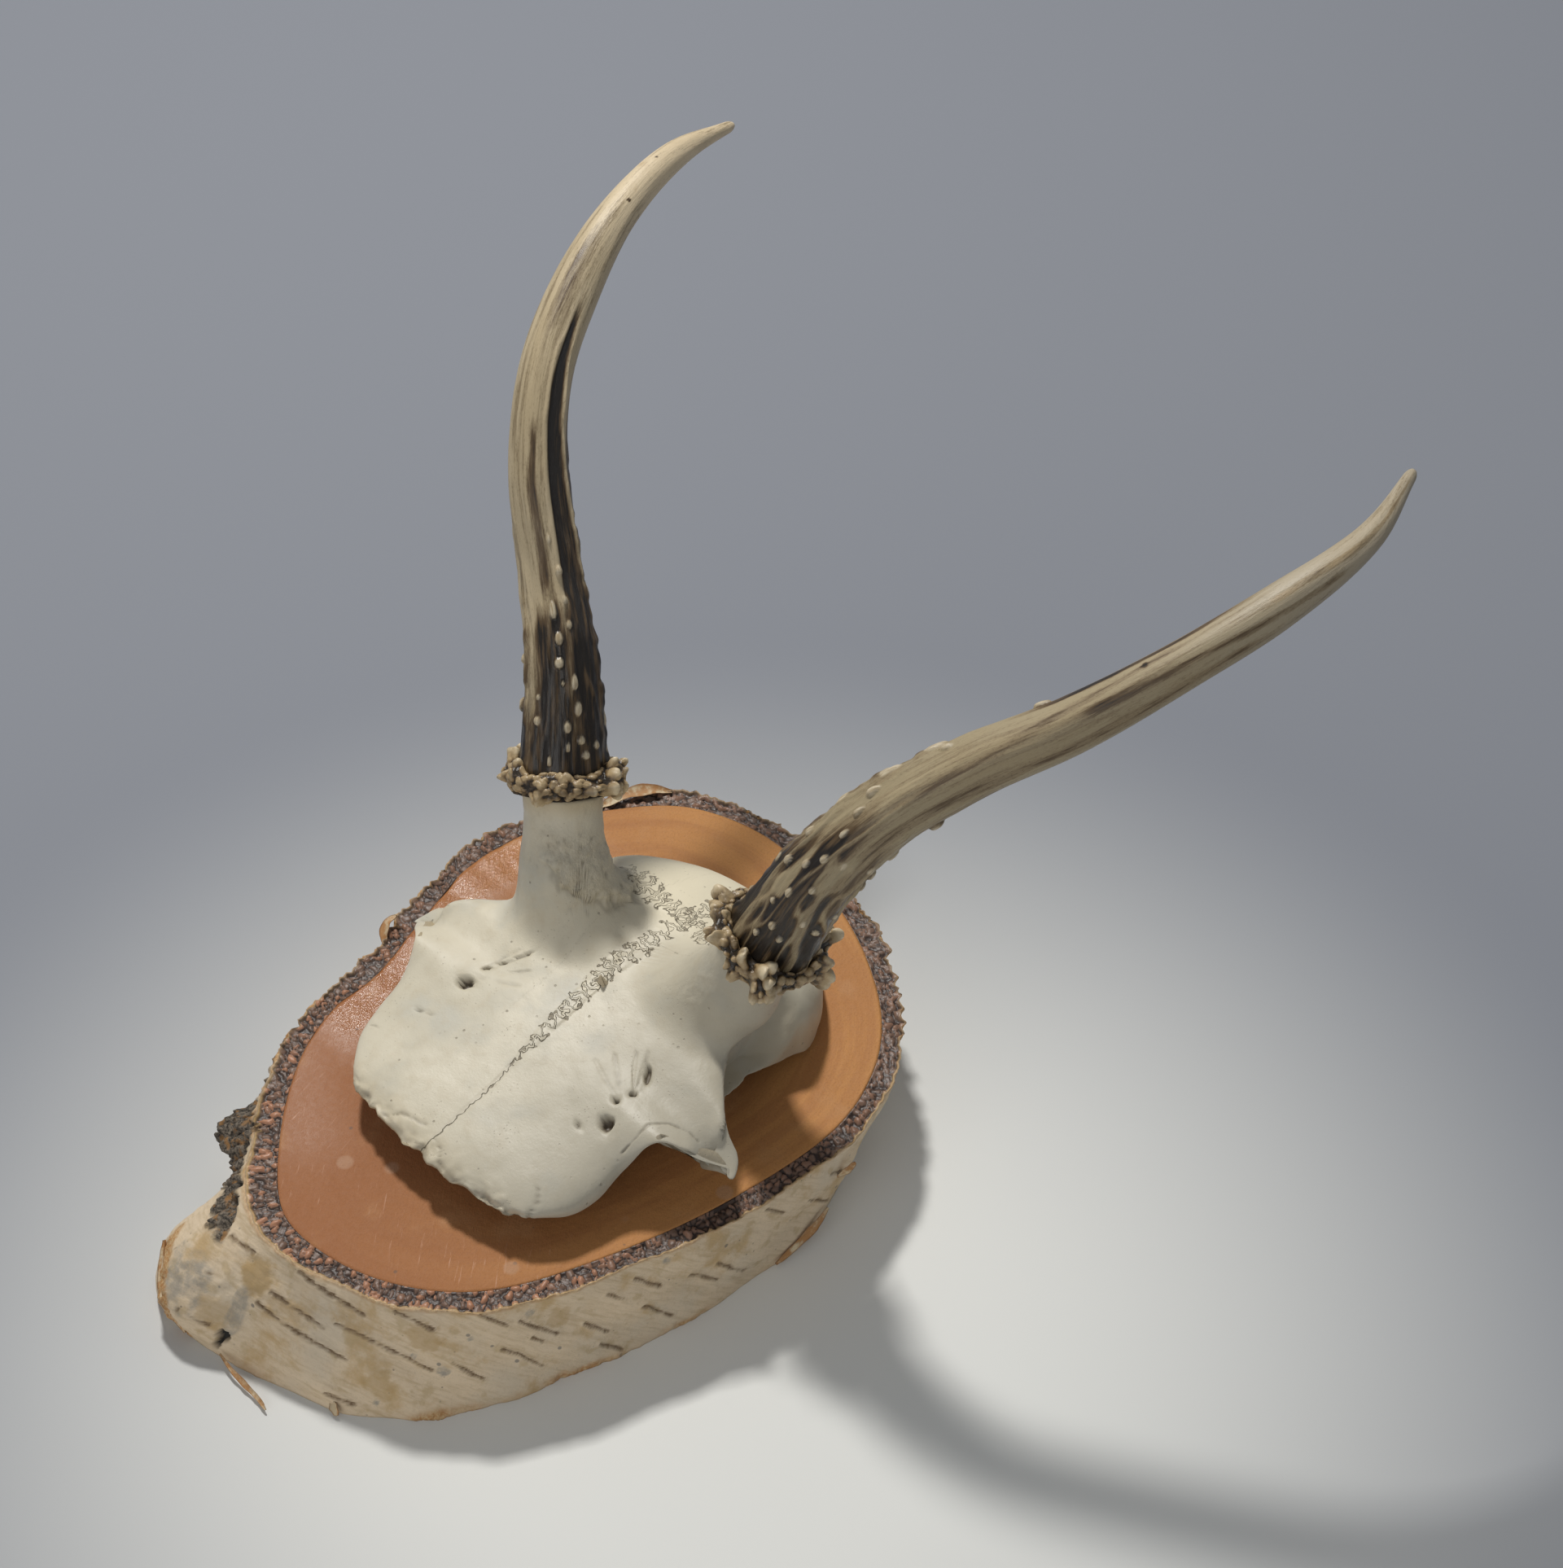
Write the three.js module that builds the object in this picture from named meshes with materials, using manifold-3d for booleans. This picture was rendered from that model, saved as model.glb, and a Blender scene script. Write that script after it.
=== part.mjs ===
// A young roe buck's antlers on their skull cap, fixed on an obliquely cut slice of birch.
//
// Units are millimetres. The skull's middle plane is X = 0 and its nose end points along -Y. +Z points from
// the slice towards the antlers, and the slice's flat back face lies in z = 0.

import * as THREE from 'three';
import { mergeVertices } from 'three/addons/utils/BufferGeometryUtils.js';
import Module from 'manifold-3d';

const wasm = await Module();
wasm.setup();

// Pieces that touch keep this gap
const CLEARANCE = 0.3;

// Birch slice: the front face's outer rim, and how far the back face is moved by the oblique cut
const SLICE_THICKNESS = 22;
const SLICE_LEAN = [-2.2, -11.4];
const SLICE_RIM = [
  [46, 33], [41, 50], [31, 62.5], [15, 72.5], [-2, 78], [-20, 79], [-36, 73.5], [-47, 61.5],
  [-54, 46], [-55.5, 29.5], [-51, 13], [-46.5, -1], [-45.5, -12], [-40, -25], [-28, -39.5],
  [-12.5, -50.5], [4, -50.5], [19, -44], [30, -33], [38, -15], [44, 8],
];
const BARK_THICKNESS = 4;
const RIM_SEGMENTS = 72;
const BARK_LEVELS = [0, 0.15, 0.32, 0.5, 0.68, 0.85, 1];

// The branch collar and the knot swell the outer bark, and the whole wall is pinched in between them: centre on
// the wall, radius and how far the wall is moved
const BARK_SWELLINGS = [
  { centre: [-20.7, -55.8, 8], radius: 10.9, height: 11.3 },
  { centre: [-37, -37, 13], radius: 4.5, height: 4 },
];
const WALL_PINCH = { centre: [-36.9, -46.2, 6.8], radius: 6.9, depth: 6.7 };
const BARK_WAVE = 0.5;

// Skull cap: values at stations from the nose end to the rear rim
const CAP_SEAT = SLICE_THICKNESS + CLEARANCE;
const CAP_Y = [-25.5, -18, -11, -3, 3, 9, 15, 21, 28, 36, 44, 52, 58, 61.5];
const CAP_CREST = [30.5, 32.8, 34.3, 35.8, 37, 38, 39, 40, 40.6, 40.8, 39.6, 35.8, 30.5, CAP_SEAT];
const CAP_LEFT_WIDTH = [22.5, 26.8, 28, 28.3, 31.6, 41.8, 33.4, 29.8, 27.6, 26.9, 26.6, 24, 18.8, 14];
const CAP_RIGHT_WIDTH = [22.5, 27.8, 30, 31.2, 33.8, 41.8, 34, 30.2, 27.6, 26.9, 26.6, 24, 18.8, 14];
const CAP_RIM = [27.5, 27.5, 28, 31, 36.2, 30, 35.8, 32.6, 29.5, 26.8, 24.3, CAP_SEAT, CAP_SEAT, CAP_SEAT];
const CAP_SQUARENESS = [3, 3, 3, 3, 3, 2.2, 2.6, 3.5, 4, 4, 3.5, 3, 2.4, 2];
const CAP_BOW = [6, 3, 1.5, 0, 0, 0, 0, 0, 0, -0.5, -2, -5, -6, -5.5];
const CAP_THICKNESS = { middle: 3.2, rim: 2 };
const CAP_CELLS = { across: 22, along: 27 };

// Pedicles: radius against the distance below the burr, and the swelling of the bone round their feet
const PEDICLE_RADII = [[7.4, 0], [7.1, 4], [7.4, 9], [8.3, 14], [9.2, 18], [9.6, 21]];
const PEDICLE_SIDES = 16;
const PEDICLE_FOOT_DEPTH = 18;
const FOOT_SWELLING = { height: 7, radius: 12 };
const FORAMEN = { place: [20.3, 1.5], radius: 1.7, depth: 2, sides: 8 };

// Antlers: middle line from the burr's underside to the tip, and the radius at even steps along it
const ANTLER_SIDES = 12;
const ANTLER_STEPS = 24;
const LEFT_LINE = [
  [26, 33, 58.5], [34, 36.5, 78], [42, 43, 93], [51.5, 54.5, 104], [62, 66.5, 113], [71, 79.5, 122.5],
  [77.5, 95, 130], [80, 112.5, 134.5], [75.5, 130, 136],
];
const LEFT_RADII = [7.5, 6.5, 5.5, 5.1, 4.65, 4, 3.6, 2.4, 1];
const RIGHT_LINE = [
  [-26, 32.8, 59], [-33, 40, 77.5], [-43, 47, 90.5], [-52.5, 53.5, 103.5], [-61, 63.5, 115.5],
  [-68, 77.5, 123.5], [-73.5, 93, 129], [-77.5, 110, 131], [-80, 127.5, 128.5],
];
const RIGHT_RADII = [7.6, 6.3, 5.4, 5.2, 4.85, 4.55, 3.5, 2.6, 1];
const TIP_ROUNDING = 0.012;
const FLUTES = { count: 5, depth: 0.05 };

// The side of an antler that its angles are counted from faces this way
const FACING = new THREE.Vector3(0.5, -0.5, 0.7);

// Burr: rows of knobs round a core, with each row's distance from the middle line and height on it
const BURR_CORE = { radius: 9.3, height: 5.4, sides: 14 };
const BURR_ROWS = [
  { knobs: 12, out: 9.7, up: 3.1, size: 3 },
  { knobs: 7, out: 8, up: 6.1, size: 1.9 },
];
const KNOB_SIDES = [6, 4];

// Pearls: place along the antler (0 to 1), angle round it in degrees and size
const LEFT_PEARLS = [
  [0.08, -10, 1.3], [0.1, 30, 1.2], [0.13, -15, 1.2], [0.15, 8, 1.1], [0.19, -28, 1.1], [0.21, 85, 1.2],
  [0.24, -88, 1.7], [0.26, 78, 1.5], [0.3, -85, 1.7], [0.32, 88, 1.2], [0.37, -88, 1.4], [0.48, -90, 1.1],
];
const RIGHT_PEARLS = [
  [0.06, 40, 1.3], [0.08, 12, 1.2], [0.1, -38, 1.4], [0.11, 60, 1.2], [0.14, 2, 1.2], [0.17, -88, 1.4],
  [0.18, 25, 1.2], [0.22, 4, 1.4], [0.24, 82, 1.3], [0.27, 22, 1.1], [0.29, 86, 1.4], [0.12, 88, 1.5],
];

// Colours of the photographed surfaces
const BONE = { color: 0xd9d2c0, roughness: 0.55 };
const ANTLER_LEFT = { color: 0x9a8a6c, roughness: 0.5 };
const ANTLER_RIGHT = { color: 0x94825f, roughness: 0.5 };
const WOOD = { color: 0xb0703f, roughness: 0.3 };
const BARK = { color: 0xb9b0a0, roughness: 0.75 };

// A smooth curve through numbers at even steps, read at t from 0 to 1
function through(values) {
  const curve = new THREE.SplineCurve(values.map((value, step) => new THREE.Vector2(step, value)));
  return (t) => curve.getPoint(t).y;
}

// A repeatable number from -1 to 1 for each knob or facet
function jitter(seed) {
  const wave = Math.sin(seed * 12.9898 + 4.137) * 437.5453;
  return 2 * (wave - Math.floor(wave)) - 1;
}

// A solid from a closed geometry, whichever way its faces were wound
function solid(geometry) {
  geometry.deleteAttribute('normal');
  geometry.deleteAttribute('uv');
  const merged = mergeVertices(geometry, 1e-4);
  const corner = merged.attributes.position;
  const index = Uint32Array.from(merged.index.array);
  const [a, b, c] = [new THREE.Vector3(), new THREE.Vector3(), new THREE.Vector3()];
  let volume = 0;
  for (let i = 0; i < index.length; i += 3) {
    a.fromBufferAttribute(corner, index[i]);
    b.fromBufferAttribute(corner, index[i + 1]);
    c.fromBufferAttribute(corner, index[i + 2]);
    volume += a.dot(b.cross(c));
  }
  if (volume < 0) {
    for (let i = 0; i < index.length; i += 3) {
      [index[i + 1], index[i + 2]] = [index[i + 2], index[i + 1]];
    }
  }
  return new wasm.Manifold(new wasm.Mesh({ numProp: 3, vertProperties: corner.array, triVerts: index }));
}

// A named mesh of a solid in its own finish
function piece(name, body, finish) {
  const mesh = body.getMesh();
  const geometry = new THREE.BufferGeometry();
  geometry.setAttribute('position', new THREE.BufferAttribute(mesh.vertProperties, 3));
  geometry.setIndex(new THREE.BufferAttribute(mesh.triVerts, 1));
  geometry.computeVertexNormals();
  const result = new THREE.Mesh(geometry, new THREE.MeshStandardMaterial({ ...finish, metalness: 0 }));
  result.name = name;
  return result;
}

// Moves every vertex of a geometry by a function of its place
function reshape(geometry, place) {
  const position = geometry.attributes.position;
  const vertex = new THREE.Vector3();
  for (let i = 0; i < position.count; i += 1) {
    vertex.fromBufferAttribute(position, i);
    const moved = place(vertex);
    position.setXYZ(i, moved.x, moved.y, moved.z);
  }
  return geometry;
}

// The slice's outline

const rimCurve = new THREE.CatmullRomCurve3(
  SLICE_RIM.map(([x, y]) => new THREE.Vector3(x, y, 0)), true, 'catmullrom', 0.5,
);
const sliceCentre = rimCurve.getPoints(RIM_SEGMENTS).reduce((sum, point) => sum.add(point), new THREE.Vector3())
  .divideScalar(RIM_SEGMENTS + 1);

// A point of the wall at a turn from 0 to 1 and a level from 0 to 1, moved inwards
function wallPoint(turn, level, inset) {
  const wrapped = ((turn % 1) + 1) % 1;
  const point = rimCurve.getPoint(wrapped);
  const along = rimCurve.getTangent(wrapped);
  point.x += SLICE_LEAN[0] * (1 - level);
  point.y += SLICE_LEAN[1] * (1 - level);
  point.z = level * SLICE_THICKNESS;
  const toPinch = point.distanceTo(new THREE.Vector3(...WALL_PINCH.centre)) / WALL_PINCH.radius;
  const inwards = inset + WALL_PINCH.depth / (1 + toPinch ** 4);
  point.x -= along.y * inwards;
  point.y += along.x * inwards;
  return point;
}

// The turn of a vertex of a geometry that is round about its Y axis
function turnOf(vertex) {
  return Math.atan2(vertex.x, vertex.z) / (2 * Math.PI);
}

function birchWood() {
  const inset = BARK_THICKNESS + CLEARANCE;
  const disc = new THREE.CylinderGeometry(1, 1, 1, RIM_SEGMENTS, 1);
  reshape(disc, (vertex) => {
    const level = vertex.y + 0.5;
    if (Math.hypot(vertex.x, vertex.z) < 0.5) {
      return new THREE.Vector3(
        sliceCentre.x + SLICE_LEAN[0] * (1 - level),
        sliceCentre.y + SLICE_LEAN[1] * (1 - level),
        level * SLICE_THICKNESS,
      );
    }
    return wallPoint(turnOf(vertex), level, inset);
  });
  return solid(disc);
}

// How far the outer bark stands out from the plain wall at a point of it
function barkSwelling(point) {
  let out = BARK_WAVE * Math.sin(point.x * 0.31 + point.z * 0.4) * Math.cos(point.y * 0.27);
  for (const { centre, radius, height } of BARK_SWELLINGS) {
    const distance = point.distanceTo(new THREE.Vector3(...centre)) / radius;
    out += height / (1 + distance ** 4);
  }
  return out;
}

function birchBark() {
  const profile = [
    new THREE.Vector2(1, 0),
    ...BARK_LEVELS.map((level) => new THREE.Vector2(2, level)),
    new THREE.Vector2(1, 1),
    new THREE.Vector2(1, 0),
  ];
  const ring = new THREE.LatheGeometry(profile, RIM_SEGMENTS);
  reshape(ring, (vertex) => {
    const turn = turnOf(vertex);
    if (Math.hypot(vertex.x, vertex.z) < 1.5) {
      return wallPoint(turn, vertex.y, BARK_THICKNESS);
    }
    return wallPoint(turn, vertex.y, -barkSwelling(wallPoint(turn, vertex.y, 0)));
  });
  return solid(ring);
}

// The skull cap

const cap = {
  y: through(CAP_Y),
  crest: through(CAP_CREST),
  leftWidth: through(CAP_LEFT_WIDTH),
  rightWidth: through(CAP_RIGHT_WIDTH),
  rim: through(CAP_RIM),
  squareness: through(CAP_SQUARENESS),
  bow: through(CAP_BOW),
};

// An antler's middle line
function middleLine(points) {
  return new THREE.CatmullRomCurve3(points.map((p) => new THREE.Vector3(...p)), false, 'catmullrom', 0.5);
}

const lines = { left: middleLine(LEFT_LINE), right: middleLine(RIGHT_LINE) };

const feet = [lines.left, lines.right].map((line) => (
  line.getPoint(0).addScaledVector(line.getTangent(0), -PEDICLE_FOOT_DEPTH)
));

// The cap's outer surface: u from side to side and v from the nose end to the rear, each from -1 to 1. A
// section across is a flattened arch that turns down to the rim, with a swelling round each pedicle's foot.
function capPoint(u, v) {
  const t = THREE.MathUtils.clamp((v + 1) / 2, 0, 1);
  const power = cap.squareness(t);
  const [across, up] = [Math.sin((u * Math.PI) / 2), Math.cos((u * Math.PI) / 2)];
  const reach = (Math.abs(across) ** power + Math.abs(up) ** power) ** (-1 / power);
  const halfWidth = u > 0 ? cap.leftWidth(t) : cap.rightWidth(t);
  const x = halfWidth * reach * across;
  const y = cap.y(t) + cap.bow(t) * u * u;
  let z = cap.rim(t) + (cap.crest(t) - cap.rim(t)) * reach * up;
  for (const foot of feet) {
    const distance = Math.hypot(x - foot.x, y - foot.y) / FOOT_SWELLING.radius;
    z += FOOT_SWELLING.height * Math.exp(-distance * distance) * (1 - u ** 6);
  }
  return new THREE.Vector3(x, y, z);
}

// The outward direction of the cap's outer surface
function capNormal(u, v) {
  const step = 0.01;
  const across = capPoint(Math.min(u + step, 1), v).sub(capPoint(Math.max(u - step, -1), v));
  const along = capPoint(u, Math.min(v + step, 1)).sub(capPoint(u, Math.max(v - step, -1)));
  return across.cross(along).normalize();
}

function capShell() {
  const sheet = new THREE.BoxGeometry(2, 2, 1, CAP_CELLS.across, CAP_CELLS.along, 1);
  reshape(sheet, ({ x: u, y: v, z: w }) => {
    const outer = capPoint(u, v);
    if (w > 0) {
      return outer;
    }
    const thickness = THREE.MathUtils.lerp(CAP_THICKNESS.middle, CAP_THICKNESS.rim, u * u);
    const inner = outer.addScaledVector(capNormal(u, v), -thickness);
    inner.z = Math.max(inner.z, CAP_SEAT);
    return inner;
  });
  return solid(sheet);
}

// A solid of revolution or a knob, made along +Y, set on a point with +Y along a direction
function setAlong(geometry, origin, direction) {
  const turn = new THREE.Quaternion().setFromUnitVectors(new THREE.Vector3(0, 1, 0), direction);
  return geometry.applyQuaternion(turn).translate(origin.x, origin.y, origin.z);
}

function pedicle(line) {
  const depths = PEDICLE_RADII.map(([radius, depth]) => new THREE.Vector2(radius, -depth - CLEARANCE));
  const profile = [
    new THREE.Vector2(0, depths[0].y),
    ...depths,
    new THREE.Vector2(0, depths[depths.length - 1].y),
  ];
  const post = new THREE.LatheGeometry(profile, PEDICLE_SIDES);
  return solid(setAlong(post, line.getPoint(0), line.getTangent(0)));
}

// The blunt pit of a foramen, on the side of the skull that the sign gives
function foramen(sign) {
  const { place, radius, depth, sides } = FORAMEN;
  const surface = capPoint(sign * 0.55, -0.36);
  const pit = new THREE.CylinderGeometry(radius, radius * 0.7, depth * 2, sides);
  return solid(setAlong(pit, new THREE.Vector3(sign * place[0], place[1], surface.z), new THREE.Vector3(0, 0, 1)));
}

function skullCap() {
  return capShell().add(pedicle(lines.left)).add(pedicle(lines.right))
    .subtract(foramen(1)).subtract(foramen(-1));
}

// The antlers

// The directions across an antler at t: towards its facing side and a quarter turn on
function acrossAt(line, t) {
  const along = line.getTangent(t);
  const front = FACING.clone().addScaledVector(along, -FACING.dot(along)).normalize();
  const side = along.clone().cross(front);
  return { along, front, side };
}

// A point at an angle round the middle line and a distance from it
function roundLine(line, t, angle, distance) {
  const { front, side } = acrossAt(line, t);
  return line.getPoint(t)
    .addScaledVector(front, distance * Math.cos(angle))
    .addScaledVector(side, distance * Math.sin(angle));
}

function shaft(line, radius) {
  const rod = new THREE.CylinderGeometry(1, 1, 1, ANTLER_SIDES, ANTLER_STEPS);
  return solid(reshape(rod, (vertex) => {
    const t = vertex.y + 0.5;
    const angle = Math.atan2(vertex.x, vertex.z);
    const toTip = Math.max(0, (t - 1 + TIP_ROUNDING) / TIP_ROUNDING);
    const flute = 1 + FLUTES.depth * Math.cos(FLUTES.count * angle + 2 * t) * (1 - t);
    const reach = radius(t) * flute * (1 - 0.6 * toTip) * Math.hypot(vertex.x, vertex.z);
    return roundLine(line, t, angle, reach);
  }));
}

function burr(line) {
  const { along } = acrossAt(line, 0);
  const core = new THREE.CylinderGeometry(
    BURR_CORE.radius, BURR_CORE.radius, BURR_CORE.height, BURR_CORE.sides,
  ).translate(0, BURR_CORE.height / 2, 0);
  let body = solid(setAlong(core, line.getPoint(0), along));
  BURR_ROWS.forEach(({ knobs, out, up, size }, row) => {
    for (let i = 0; i < knobs; i += 1) {
      const angle = ((i + 0.5 * row + 0.25 * jitter(i + 31 * row)) / knobs) * 2 * Math.PI;
      const knobSize = size * (1 + 0.16 * jitter(i + 7 + 31 * row));
      const place = roundLine(line, 0, angle, out + 0.5 * jitter(i + 13 + 31 * row));
      place.addScaledVector(along, up);
      const knob = new THREE.SphereGeometry(knobSize, ...KNOB_SIDES);
      body = body.add(solid(setAlong(knob, place, along)));
    }
  });
  return body;
}

function antler(line, radii, pearls) {
  const radius = through(radii);
  let body = shaft(line, radius).add(burr(line));
  for (const [t, degrees, size] of pearls) {
    const angle = THREE.MathUtils.degToRad(degrees);
    const place = roundLine(line, t, angle, radius(t));
    const pearl = new THREE.IcosahedronGeometry(size, 0).scale(1, 1.5, 1);
    body = body.add(solid(setAlong(pearl, place, line.getTangent(t))));
  }
  return body;
}

const trophy = new THREE.Group();
trophy.add(piece('birch_wood', birchWood(), WOOD));
trophy.add(piece('birch_bark', birchBark(), BARK));
trophy.add(piece('skull_cap', skullCap(), BONE));
trophy.add(piece('antler_left', antler(lines.left, LEFT_RADII, LEFT_PEARLS), ANTLER_LEFT));
trophy.add(piece('antler_right', antler(lines.right, RIGHT_RADII, RIGHT_PEARLS), ANTLER_RIGHT));

export default trophy;
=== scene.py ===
"""Two roe deer antlers on their skull cap, fixed on a slice of birch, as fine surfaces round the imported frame.

Lengths are millimetres until a mesh is written, which is in metres. +X is the animal's left, -Y its nose end,
and +Z points away from the slice's flat back face.
"""

import math

import bpy
import numpy as np
from mathutils import Matrix, Vector


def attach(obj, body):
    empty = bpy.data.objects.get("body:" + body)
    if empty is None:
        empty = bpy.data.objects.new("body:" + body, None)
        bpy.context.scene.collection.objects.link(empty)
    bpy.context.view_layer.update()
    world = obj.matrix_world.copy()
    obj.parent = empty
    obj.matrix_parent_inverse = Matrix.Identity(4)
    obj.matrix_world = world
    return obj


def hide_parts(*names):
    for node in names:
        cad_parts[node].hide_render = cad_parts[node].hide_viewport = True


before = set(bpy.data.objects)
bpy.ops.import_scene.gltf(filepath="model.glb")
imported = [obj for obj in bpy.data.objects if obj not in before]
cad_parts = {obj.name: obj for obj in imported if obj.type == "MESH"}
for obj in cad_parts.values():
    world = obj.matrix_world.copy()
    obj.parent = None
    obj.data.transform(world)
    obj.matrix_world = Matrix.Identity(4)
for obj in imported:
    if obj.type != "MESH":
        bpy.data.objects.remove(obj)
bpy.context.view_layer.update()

METRES = 0.001

# Slice of birch, as in the part's source.
SLICE_THICKNESS = 22.0
SLICE_LEAN = np.array([-2.2, -11.4])
SLICE_RIM = [
    [46, 33], [41, 50], [31, 62.5], [15, 72.5], [-2, 78], [-20, 79], [-36, 73.5], [-47, 61.5], [-54, 46],
    [-55.5, 29.5], [-51, 13], [-46.5, -1], [-45.5, -12], [-40, -25], [-28, -39.5], [-12.5, -50.5], [4, -50.5],
    [19, -44], [30, -33], [38, -15], [44, 8],
]
BARK_THICKNESS = 4.0
BARK_SWELLINGS = [((-20.7, -55.8, 8), 10.9, 11.3), ((-37, -37, 13), 4.5, 4)]
WALL_PINCH = ((-36.9, -46.2, 6.8), 6.9, 6.7)
BARK_WAVE = 0.5
TRUNK_AXIS = np.array([-0.11, 0.68, 0.72])

# Skull cap, as in the part's source: rows from the nasal end to the rear.
CAP_SEAT = 22.3
CAP_Y = [-25.5, -18, -11, -3, 3, 9, 15, 21, 28, 36, 44, 52, 58, 61.5]
CAP_CREST = [30.5, 32.8, 34.3, 35.8, 37, 38, 39, 40, 40.6, 40.8, 39.6, 35.8, 30.5, CAP_SEAT]
CAP_LEFT_WIDTH = [22.5, 26.8, 28, 28.3, 31.6, 41.8, 33.4, 29.8, 27.6, 26.9, 26.6, 24, 18.8, 14]
CAP_RIGHT_WIDTH = [22.5, 27.8, 30, 31.2, 33.8, 41.8, 34, 30.2, 27.6, 26.9, 26.6, 24, 18.8, 14]
CAP_RIM = [27.5, 27.5, 28, 31, 36.2, 30, 35.8, 32.6, 29.5, 26.8, 24.3, 22.3, 22.3, 22.3]
CAP_SQUARENESS = [3, 3, 3, 3, 3, 2.2, 2.6, 3.5, 4, 4, 3.5, 3, 2.4, 2]
CAP_BOW = [6, 3, 1.5, 0, 0, 0, 0, 0, 0, -0.5, -2, -5, -6, -5.5]
CAP_THICKNESS = 2.2
RIM_THICKNESS = 1.3
PROCESS_TIP_Y = 9.2
PEDICLE_DEPTHS = [0, 4, 9, 14, 18, 21]
PEDICLE_RADII = [7.4, 7.1, 7.4, 8.3, 9.2, 9.6]

# Antlers, as in the part's source: middle lines from the burr to the tip, and radii.
LEFT_LINE = [
    [26, 33, 58.5], [34, 36.5, 78], [42, 43, 93], [51.5, 54.5, 104], [62, 66.5, 113], [71, 79.5, 122.5],
    [77.5, 95, 130], [80, 112.5, 134.5], [75.5, 130, 136],
]
LEFT_RADII = [7.5, 6.5, 5.5, 5.1, 4.65, 4, 3.6, 2.4, 1]
RIGHT_LINE = [
    [-26, 32.8, 59], [-33, 40, 77.5], [-43, 47, 90.5], [-52.5, 53.5, 103.5], [-61, 63.5, 115.5],
    [-68, 77.5, 123.5], [-73.5, 93, 129], [-77.5, 110, 131], [-80, 127.5, 128.5],
]
RIGHT_RADII = [7.6, 6.3, 5.4, 5.2, 4.85, 4.55, 3.5, 2.6, 1]
FACING = np.array([0.5, -0.5, 0.7])
BURR_RING, BURR_RISE = 8.4, 2.5


# Shared arithmetic.

def smooth(low, high, x):
    """0 below low and 1 above high, with 3w^2 - 2w^3 between them."""
    w = np.clip((np.asarray(x, float) - low) / (high - low), 0, 1)
    return w * w * (3 - 2 * w)


def unit(v):
    """Each vector divided by its length."""
    return v / np.maximum(np.linalg.norm(v, axis=-1, keepdims=True), 1e-12)


def spline(values, t, ends="held"):
    """Uniform Catmull-Rom curve through the values, for t from 0 to 1.

    ends is held (the end values repeat), straight (they run on in a line) or round (the curve closes).
    """
    p = np.asarray(values, float)
    count = len(p)
    if ends == "round":
        padded = np.concatenate([p[-1:], p, p[:2]])
        spans = count
    else:
        first = p[:1] if ends == "held" else 2 * p[:1] - p[1:2]
        last = p[-1:] if ends == "held" else 2 * p[-1:] - p[-2:-1]
        padded = np.concatenate([first, p, last])
        spans = count - 1
    s = np.clip(t, 0, 1) * spans
    i = np.minimum(s.astype(int), spans - 1)
    w = s - i
    if p.ndim == 2:
        w = w[..., None]
    a, b, c, d = (padded[i + k] for k in range(4))
    slope_b, slope_c = (c - a) / 2, (d - b) / 2
    return (
        (2 * w**3 - 3 * w**2 + 1) * b + (w**3 - 2 * w**2 + w) * slope_b
        + (3 * w**2 - 2 * w**3) * c + (w**3 - w**2) * slope_c
    )


def along(values, t, ends="straight"):
    """Unit direction of the curve at t, by a small central difference."""
    step = 1e-4
    low, high = np.clip(t - step, 0, 1), np.clip(t + step, 0, 1)
    if ends == "round":
        low, high = (t - step) % 1, (t + step) % 1
    return unit(spline(values, high, ends) - spline(values, low, ends))


def lattice(i, j, k, seed):
    """A fixed number from 0 to 1 for each whole place (i, j, k), by mixing bits."""
    h = (i * 374761393 + j * 668265263 + k * 2147483629 + seed * 974711) & 0xFFFFFFFF
    h = ((h ^ (h >> 13)) * 1274126177) & 0xFFFFFFFF
    h = ((h ^ (h >> 15)) * 668265263) & 0xFFFFFFFF
    return ((h ^ (h >> 16)) & 0xFFFF) / 65535.0


def cloud(places, size, seed=0, octaves=3):
    """Soft random field from -1 to 1 whose lumps are about size across: lattice numbers blended by
    3w^2 - 2w^3, with each next octave half as large and half as strong."""
    total, weights = 0.0, 0.0
    for octave in range(octaves):
        q = np.asarray(places, float) * (2.0**octave / size) + 31.7 * octave + 0.37 * seed
        cell = np.floor(q).astype(np.int64)
        w = q - cell
        w = w * w * (3 - 2 * w)
        value = 0.0
        for corner in np.ndindex(2, 2, 2):
            share = 1.0
            for axis in range(3):
                share = share * (w[..., axis] if corner[axis] else 1 - w[..., axis])
            value = value + share * lattice(*(cell[..., axis] + corner[axis] for axis in range(3)), seed)
        total = total + (2 * value - 1) * 0.5**octave
        weights += 0.5**octave
    return total / weights


def scattered(places, size, seed):
    """For each of the 27 lattice cells round every place: the offsets to that cell's own random point, in
    units of size, and that point's own number from 0 to 1."""
    q = np.asarray(places, float) / size
    cell = np.floor(q).astype(np.int64)
    for offset in np.ndindex(3, 3, 3):
        near = [cell[..., axis] + offset[axis] - 1 for axis in range(3)]
        point = np.stack([near[axis] + lattice(*near, seed + axis) for axis in range(3)], -1)
        yield q - point, lattice(*near, seed + 3)


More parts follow.
